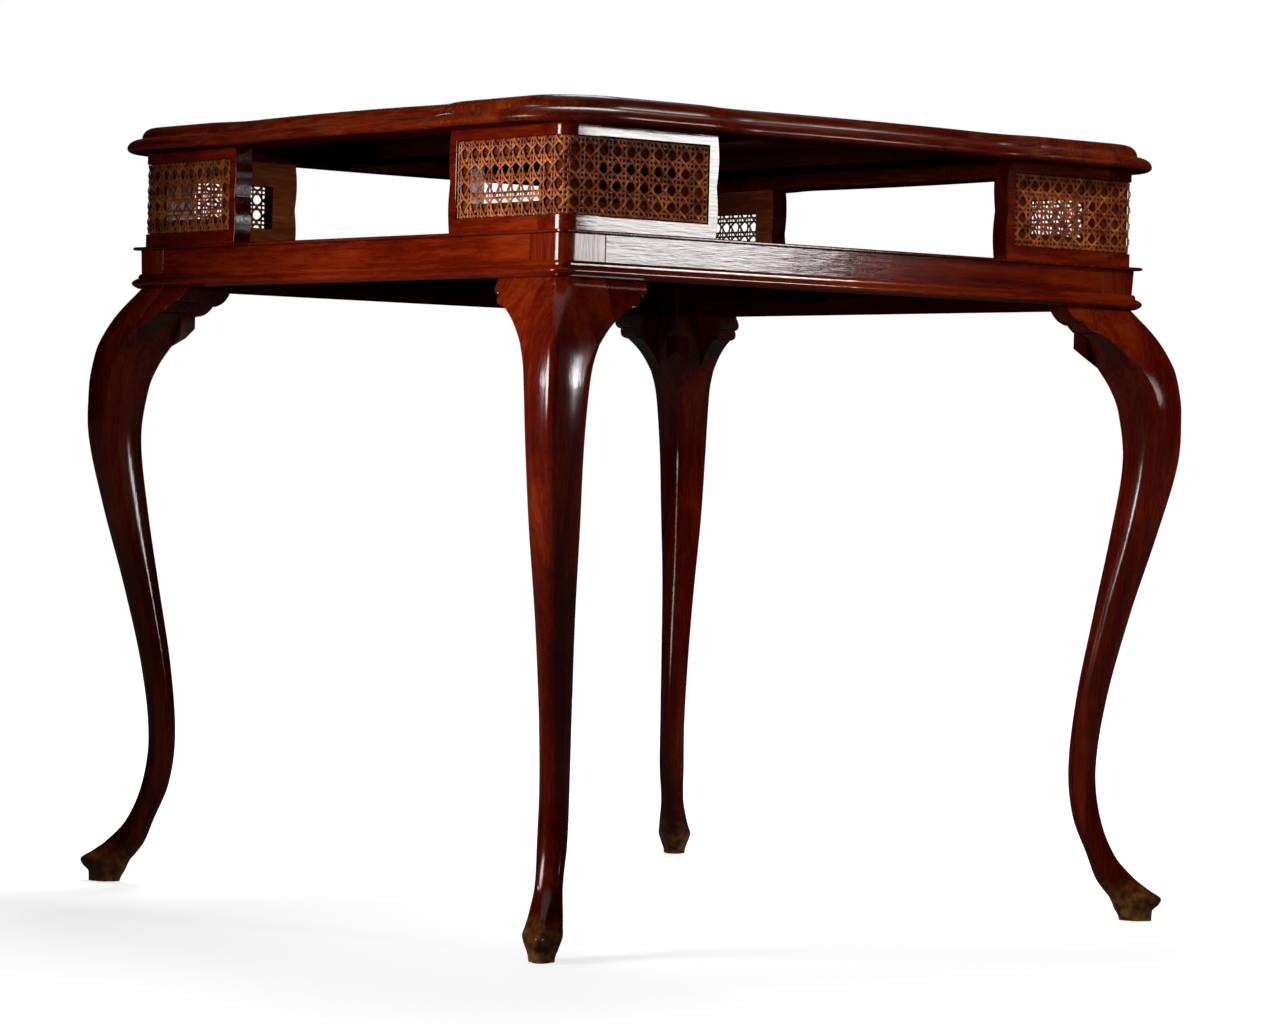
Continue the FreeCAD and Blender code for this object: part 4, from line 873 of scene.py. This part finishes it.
# %% Weave
def weave():
    points, faces = [], []
    columns = int(HALF_RUN // PITCH)
    rows = int(HALF_RISE // PITCH)
    for column in range(-columns, columns + 1):
        for which in (-1, 1):
            run = column * PITCH + which * PAIR_HALF
            strand([(run, rise, UPRIGHT_LIFT * which) for rise in samples(-HALF_RISE, HALF_RISE)],
                   points, faces, STRAND_HALF)
    for row in range(-rows, rows + 1):
        for which in (-1, 1):
            rise = row * PITCH + which * PAIR_HALF
            strand([(run, rise, LEVEL_WAVE * which * math.cos(2 * math.pi * run / PITCH))
                    for run in samples(-HALF_RUN, HALF_RUN)], points, faces, STRAND_HALF)
    square_faces = len(faces)
    reach = HALF_RUN + HALF_RISE
    first = int(math.floor(-reach / PITCH))
    for slope in (-1, 1):
        for count in range(first, -first + 1):
            start = (count + 0.5) * PITCH
            low = max(-HALF_RUN, start - HALF_RISE)
            high = min(HALF_RUN, start + HALF_RISE)
            if high - low < PITCH / 4:
                continue
            strand([(run, slope * (run - start),
                     SLANT_LIFT + slope * WAVE * math.cos(2 * math.pi * run / PITCH))
                    for run in samples(low, high)], points, faces, SLANT_HALF)
    return points, faces, square_faces


cane_points, cane_faces, square_faces = weave()
cane_mesh = mesh_from_faces("woven cane", cane_points, cane_faces, sharp_angle=70)
for finish in (CANE, SLANT_CANE_PAINTED_HIGHLIGHT):
    cane_mesh.materials.append(finish)
# Faces of the diagonals take the paler cane, a painted highlight.
for face in cane_mesh.polygons:
    face.material_index = 1 if face.index >= square_faces else 0
for corner, angle in CORNERS.items():
    place(f"woven_cane_{corner}", cane_mesh, angle, [f"cane_{corner}"])
print("cane:", len(cane_mesh.polygons), "faces in one corner")

# %% [markdown]
# ## Top frame
# The top is a frame of four bowed sides and four projecting round corners, moulded round its edge with a
# nose and an ovolo. Every line of the moulding keeps its distance from the edge, so each is an arc about
# the same centre as the edge above it. The pieces are made as upright slices: across a side at each step
# along it, and fanning out at a corner.

# %% Edge of the top
TOP_HALF, TOP_RADIUS = 384.0, 78.0
SHOULDER_AT, HOLLOW_AT, JOINT_AT = 215.0, 155.0, 203.0
SHOULDER_RISE, HOLLOW_RADIUS, BOW_DEPTH = 9.0, 100.0, 7.5
CORNER_CENTRE = TOP_HALF - TOP_RADIUS
HOLLOW_EDGE = TOP_HALF - SHOULDER_RISE


def s_curve_sine(run, rise):
    """Sine of the angle at the middle of an S-curve of two arcs."""
    slope = rise / run
    return 2 * slope / (1 + slope * slope)


BOW_SINE = s_curve_sine(HOLLOW_AT, BOW_DEPTH)
SHOULDER_SINE = s_curve_sine(SHOULDER_AT - HOLLOW_AT, SHOULDER_RISE)
BOW_RADIUS = HOLLOW_AT / BOW_SINE - HOLLOW_RADIUS
SHOULDER_RADIUS = (SHOULDER_AT - HOLLOW_AT) / SHOULDER_SINE - HOLLOW_RADIUS


def edge_out(run, inset):
    """How far out the edge lies at a place along its side, moved in by an inset."""
    run = abs(run)
    bow_centre, bow = HOLLOW_EDGE + BOW_DEPTH - BOW_RADIUS, BOW_RADIUS - inset
    hollow_centre, hollow = HOLLOW_EDGE + HOLLOW_RADIUS, HOLLOW_RADIUS + inset
    shoulder_centre, shoulder = TOP_HALF - SHOULDER_RADIUS, SHOULDER_RADIUS - inset
    if run >= SHOULDER_AT:
        return TOP_HALF - inset
    if run <= bow * BOW_SINE:
        return bow_centre + math.sqrt(bow * bow - run * run)
    if run >= SHOULDER_AT - shoulder * SHOULDER_SINE:
        return shoulder_centre + math.sqrt(shoulder * shoulder - (SHOULDER_AT - run) ** 2)
    return hollow_centre - math.sqrt(hollow * hollow - (run - HOLLOW_AT) ** 2)


NOSE_DEPTH, OVOLO_DEPTH, NOSE_UNDER, NOSE_TIP, FILLET = 14.5, 11.0, 5.5, 4.4, 0.9
EDGE_STEPS = 8


def quarter_oval(start, end, level_first):
    """Quarter of an oval between two places, level at one end and upright at the other."""
    points = []
    for k in range(EDGE_STEPS + 1):
        turn = math.pi / 2 * k / EDGE_STEPS
        quick, slow = math.sin(turn), 1 - math.cos(turn)
        across, up = (quick, slow) if level_first else (slow, quick)
        points.append((start[0] + (end[0] - start[0]) * across, start[1] + (end[1] - start[1]) * up))
    return points


edge_profile = (quarter_oval((NOSE_UNDER, TOP_FOOT), (0.0, TOP_FOOT + NOSE_TIP), True)
                + quarter_oval((0.0, TOP_FOOT + NOSE_TIP), (NOSE_DEPTH, TOP_STEP), False)[1:]
                + quarter_oval((NOSE_DEPTH, TOP_STEP + FILLET), (NOSE_DEPTH + OVOLO_DEPTH, TOP_FACE), False))
print("edge section:", len(edge_profile), "points")

# %% Sides and corners of the top
INNER = [(PANEL_EDGE, TOP_FACE), (PANEL_EDGE, PANEL_FOOT),
         (FRAME_INSIDE, PANEL_FOOT), (FRAME_INSIDE, TOP_FOOT)]
JOINT_GAP, SIDE_STEPS, CORNER_PARTS = 0.12, 40, 24


def side_slice(run):
    return ([(run, -edge_out(run, inset), z) for inset, z in edge_profile]
            + [(run, -out, z) for out, z in INNER])


def corner_slice(degrees):
    """Slice through the corner's centre, at an angle from the X axis."""
    way = math.radians(degrees)
    cosine, sine = math.cos(way), math.sin(way)
    steep = max(cosine, sine)
    radii = [(TOP_RADIUS - inset, z) for inset, z in edge_profile]
    radii += [((out - CORNER_CENTRE) / steep, z) for out, z in INNER]
    return [(CORNER_CENTRE + radius * cosine, CORNER_CENTRE + radius * sine, z) for radius, z in radii]


side_end = JOINT_AT - JOINT_GAP
side_mesh = mesh_from_rings("top side", [side_slice(side_end * (k / SIDE_STEPS - 1))
                                         for k in range(2 * SIDE_STEPS + 1)])
lead_start = JOINT_AT + JOINT_GAP
lead_runs = [lead_start + (CORNER_CENTRE - lead_start) * k / CORNER_PARTS for k in range(CORNER_PARTS + 1)]
lead = [[(x, -y, z) for x, y, z in side_slice(run)] for run in lead_runs]
corner_rings = lead + [corner_slice(90 - 90 * k / CORNER_PARTS) for k in range(1, CORNER_PARTS)]
corner_rings += [[(y, x, z) for x, y, z in ring] for ring in reversed(lead)]
corner_mesh = mesh_from_rings("top corner", corner_rings)
for side, angle in SIDES.items():
    piece = place(f"moulded_side_{side}", side_mesh, angle, [f"top_side_{side}"], EDGE_WOOD)
    soften(piece, 0.3, segments=1, angle=50)
for corner, angle in CORNERS.items():
    piece = place(f"moulded_corner_{corner}", corner_mesh, angle, [f"top_corner_{corner}"],
                  EDGE_WOOD)
    soften(piece, 0.3, segments=1, angle=50)
print("top:", len(side_mesh.vertices), "points in a side,", len(corner_mesh.vertices), "in a corner")

# %% [markdown]
# ## Playing panel and baize
# The panel lies loose in the frame's rebate and lifts out. Its border is crossbanded: the grain runs
# from the baize to the edge on every side. The solid is right, so it only needs its finish. The baize is
# a sheet of green wool let into the panel: a fine grid with a soft, slightly uneven face.

# %% Panel
def crossband():
    material, tree, wood = new_material("crossbanded mahogany")
    where = own_space(tree)
    parts = node(tree, "ShaderNodeSeparateXYZ", {"Vector": where})
    wide, deep = (math_node(tree, "ABSOLUTE", parts.outputs[name], 0.0) for name in "XY")
    sideways = math_node(tree, "GREATER_THAN", wide, deep)
    grains = []
    for axis in ("y", "x"):
        along = stretched(tree, where, GRAIN[axis])
        grains.append(weighted(tree, noise(tree, along, 5.0, 5.0), 0.6, noise(tree, along, 40.0), 0.4))
    lengthways = math_node(tree, "SUBTRACT", 1.0, sideways)
    figure = weighted(tree, grains[1], sideways, grains[0], lengthways)
    colour = ramp(tree, figure, (0.32, DEEP), (0.5, MIDDLE), (0.68, WARM))
    rough = total(tree, product(tree, noise(tree, where, 210.0), 0.12), 0.3)
    feed(tree, wood, {"Base Color": colour, "Roughness": rough})
    set_values(wood, {"Specular IOR Level": 0.0, "Coat Weight": 0.7, "Coat Roughness": 0.12})
    return material


soften(refinish("playing_panel", crossband()), 0.4)
# Hidden inner pieces take the unpolished wood that is very dark as painted shade.
for label in ("glue_blocks", "frame_tongues", "top_bearer_front", "top_bearer_back"):
    refinish(label, UNPOLISHED_PAINTED_SHADE)
print("panel and inner pieces finished")

# %% Baize
BAIZE_HALF, BAIZE_CELLS = 294.6, 96
BAIZE_DROP, TUCK_DEPTH, TUCK_RUN, NAP_RISE = 0.15, 0.6, 1.5, 0.05
BAIZE_TONES = (0.010, 0.060, 0.026), (0.022, 0.110, 0.048), (0.050, 0.175, 0.080)


def baize_finish():
    material, tree, cloth = new_material("green baize")
    where = own_space(tree)
    nap = noise(tree, where, 900.0, 3.0, 0.7)
    patches = noise(tree, where, 9.0, 3.0, 0.55)
    tone = weighted(tree, nap, 0.7, patches, 0.3)
    dark, middle, light = BAIZE_TONES
    colour = ramp(tree, tone, (0.3, dark), (0.5, middle), (0.72, light))
    feed(tree, cloth, {"Base Color": colour})
    set_values(cloth, {"Roughness": 0.95, "Specular IOR Level": 0.1})
    set_values(cloth, {"Sheen Weight": 0.15, "Sheen Roughness": 0.5})
    bumped(tree, cloth, nap, 0.35, 0.001)
    return material


random.seed(4)
points, faces = [], []
for row in range(BAIZE_CELLS + 1):
    for column in range(BAIZE_CELLS + 1):
        x, y = (BAIZE_HALF * (2 * k / BAIZE_CELLS - 1) for k in (column, row))
        edge = min(BAIZE_HALF - abs(x), BAIZE_HALF - abs(y))
        tuck = TUCK_DEPTH * math.exp(-edge / TUCK_RUN)
        points.append((x, y, TOP_FACE - BAIZE_DROP - tuck + random.uniform(-NAP_RISE, NAP_RISE)))
for row in range(BAIZE_CELLS):
    for column in range(BAIZE_CELLS):
        start = row * (BAIZE_CELLS + 1) + column
        faces.append((start, start + 1, start + BAIZE_CELLS + 2, start + BAIZE_CELLS + 1))
baize_mesh = mesh_from_faces("baize", points, faces, 60)
baize = place("baize_sheet", baize_mesh, 0, ["baize"], baize_finish(), body="panel")
print("baize", round(2 * BAIZE_HALF), "mm square")

# %% [markdown]
# ## Floor, light and camera
# The floor is pale and keeps a soft shadow. The room is dim, with a white background behind the table, so
# the dark polish shows the lamps and little else. Two lamps are only mirrored in the polish: one to the
# right, seen in the near end of the right-hand side, and one in front. Three only light the wood, and the
# overhead and back lamps do both. The camera stands low, a little below the tray, with a long lens.

# %% Floor
MIRRORED_FLOOR = 0.02
PALE_FLOOR, DIM_FLOOR, NEAR_GLOW = (0.8, 0.8, 0.8), (0.035, 0.035, 0.035), (0.70, 0.70, 0.70)
GLOW_FROM, GLOW_FULL, GLOW_REACH = 0.6, 1.8, 5.0


def mirrored_rays(tree, rays):
    """1 for a ray that comes off a polished or through a clear surface."""
    return math_node(tree, "MAXIMUM", rays.outputs["Is Glossy Ray"], rays.outputs["Is Transmission Ray"])


def floor_finish():
    material, tree, paint = new_material("pale floor")
    rays = node(tree, "ShaderNodeLightPath")
    seen = rays.outputs["Is Camera Ray"]
    colour = mix_colour(tree, seen, DIM_FLOOR, PALE_FLOOR)
    set_values(paint, {"Roughness": 0.9, "Specular IOR Level": 0.0, "Emission Color": (1, 1, 1, 1)})
    away = node(tree, "ShaderNodeVectorMath", {0: own_space(tree)}, "LENGTH").outputs["Value"]
    glow = ramp(tree, product(tree, away, 1 / GLOW_REACH),
                (GLOW_FROM / GLOW_REACH, NEAR_GLOW), (GLOW_FULL / GLOW_REACH, WHITE))
    mirrored = product(tree, mirrored_rays(tree, rays), MIRRORED_FLOOR)
    share = total(tree, seen, mirrored)
    feed(tree, paint, {"Base Color": colour, "Emission Strength": product(tree, share, glow)})
    return material


FLOOR_HALF = 14000
floor_square = [(x * FLOOR_HALF, y * FLOOR_HALF, 0) for x, y in ((-1, -1), (1, -1), (1, 1), (-1, 1))]
floor_mesh = mesh_from_faces("floor", floor_square, [(0, 1, 2, 3)])
floor_mesh.materials.append(floor_finish())
floor = new_object("floor", floor_mesh)
print("floor ready")

# %% World
VIEW_YAW, VIEW_PITCH, VIEW_ROLL = (math.radians(angle) for angle in (51.650, -0.772, 1.488))
forward = Vector((-math.sin(VIEW_YAW) * math.cos(VIEW_PITCH), math.cos(VIEW_YAW) * math.cos(VIEW_PITCH),
                  math.sin(VIEW_PITCH)))
ROOM, MIRRORED_BACK, MIRRORED_CEILING = 0.075, 0.04, 0.4
world = bpy.data.worlds.new("studio")
bpy.context.scene.world = world
world.use_nodes = True
sky = world.node_tree
rays = node(sky, "ShaderNodeLightPath")
heading = node(sky, "ShaderNodeTexCoord").outputs["Generated"]
facing = node(sky, "ShaderNodeVectorMath", {0: heading}, "DOT_PRODUCT")
facing.inputs[1].default_value = forward
behind = ramp(sky, facing.outputs["Value"], (0.78, BLACK), (0.93, WHITE))
mirrored = mirrored_rays(sky, rays)
dim = product(sky, product(sky, mirrored, behind), MIRRORED_BACK)
height = node(sky, "ShaderNodeSeparateXYZ", {"Vector": heading}).outputs["Z"]
overhead = ramp(sky, height, (0.80, BLACK), (1.0, WHITE))
ceiling = product(sky, overhead, MIRRORED_CEILING)
dim = math_node(sky, "MAXIMUM", dim, product(sky, mirrored, ceiling))
white = math_node(sky, "MAXIMUM", rays.outputs["Is Camera Ray"], dim)
lit = product(sky, rays.outputs["Is Diffuse Ray"], ROOM)
strength = math_node(sky, "MAXIMUM", white, lit)
sky.links.new(strength, sky.nodes["Background"].inputs["Strength"])
sky.nodes["Background"].inputs["Color"].default_value = (1, 1, 1, 1)
print("world ready")

# %% Lamps
def soft_lamp(name, spot, aim, size, power, fan=180):
    lamp = bpy.data.lights.new(name, "AREA")
    lamp.shape = "ELLIPSE"
    lamp.size, lamp.size_y = size
    lamp.energy = power
    lamp.spread = math.radians(fan)
    made = new_object(name, lamp)
    made.location = spot
    made.rotation_euler = (Vector(aim) - Vector(spot)).to_track_quat("-Z", "Y").to_euler()
    made.visible_camera = False
    return made


RIGHT_SPOT, NEAR_SPOT, NEAR_AIM = (2.37, 1.36, 1.0), (-0.02, -1.25, 0.68), (0.36, -0.35, 0.56)
for shine in (soft_lamp("right lamp", RIGHT_SPOT, (0.36, -0.36, 0.58), (0.62, 0.68), 0.35, 22),
              soft_lamp("near shine lamp", NEAR_SPOT, NEAR_AIM, (0.55, 0.32), 1.4, 84)):
    shine.visible_diffuse = False
for fill in (soft_lamp("near lamp", NEAR_SPOT, NEAR_AIM, (0.55, 0.32), 3.4, 84),
             soft_lamp("upper right lamp", (1.9, 0.55, 1.7), (0.36, 0.25, 0.63), (1.0, 1.0), 1.35, 28),
             soft_lamp("fill lamp", (2.6, 0.45, 0.69), (-0.33, -0.2, 0.69), (0.9, 0.4), 0.3, 20)):
    fill.visible_glossy = False
soft_lamp("overhead lamp", (-0.7, 0.7, 2.8), (-0.1, 0.1, 0.7), (1.2, 1.2), 34)
soft_lamp("back lamp", (-2.6, 1.9, 1.6), (0, 0, 0.5), (1.4, 1.4), 24)
print("lamps:", [light.name for light in bpy.data.lights])

# %% Camera
camera_data = bpy.data.cameras.new("camera")
camera = new_object("camera", camera_data)
right = Vector((math.cos(VIEW_YAW), math.sin(VIEW_YAW), 0))
up = right.cross(forward)
tilted_right = right * math.cos(VIEW_ROLL) + up * math.sin(VIEW_ROLL)
tilted_up = up * math.cos(VIEW_ROLL) - right * math.sin(VIEW_ROLL)
turn = Matrix((tilted_right, tilted_up, -forward)).transposed()
CAMERA_SPOT = (3.2345, -2.5391, 0.4418)
camera.matrix_world = Matrix.Translation(CAMERA_SPOT) @ turn.to_4x4()
IMAGE_WIDTH, FOCAL_PIXELS, SENSOR_WIDTH = 1280, 4141.1, 36.0
camera_data.sensor_fit = "HORIZONTAL"
camera_data.sensor_width = SENSOR_WIDTH
camera_data.lens = SENSOR_WIDTH * FOCAL_PIXELS / IMAGE_WIDTH
camera_data.clip_end = 100.0
bpy.context.scene.camera = camera
bpy.context.scene.view_settings.view_transform = "Standard"
print("camera lens", round(camera_data.lens, 1), "mm")
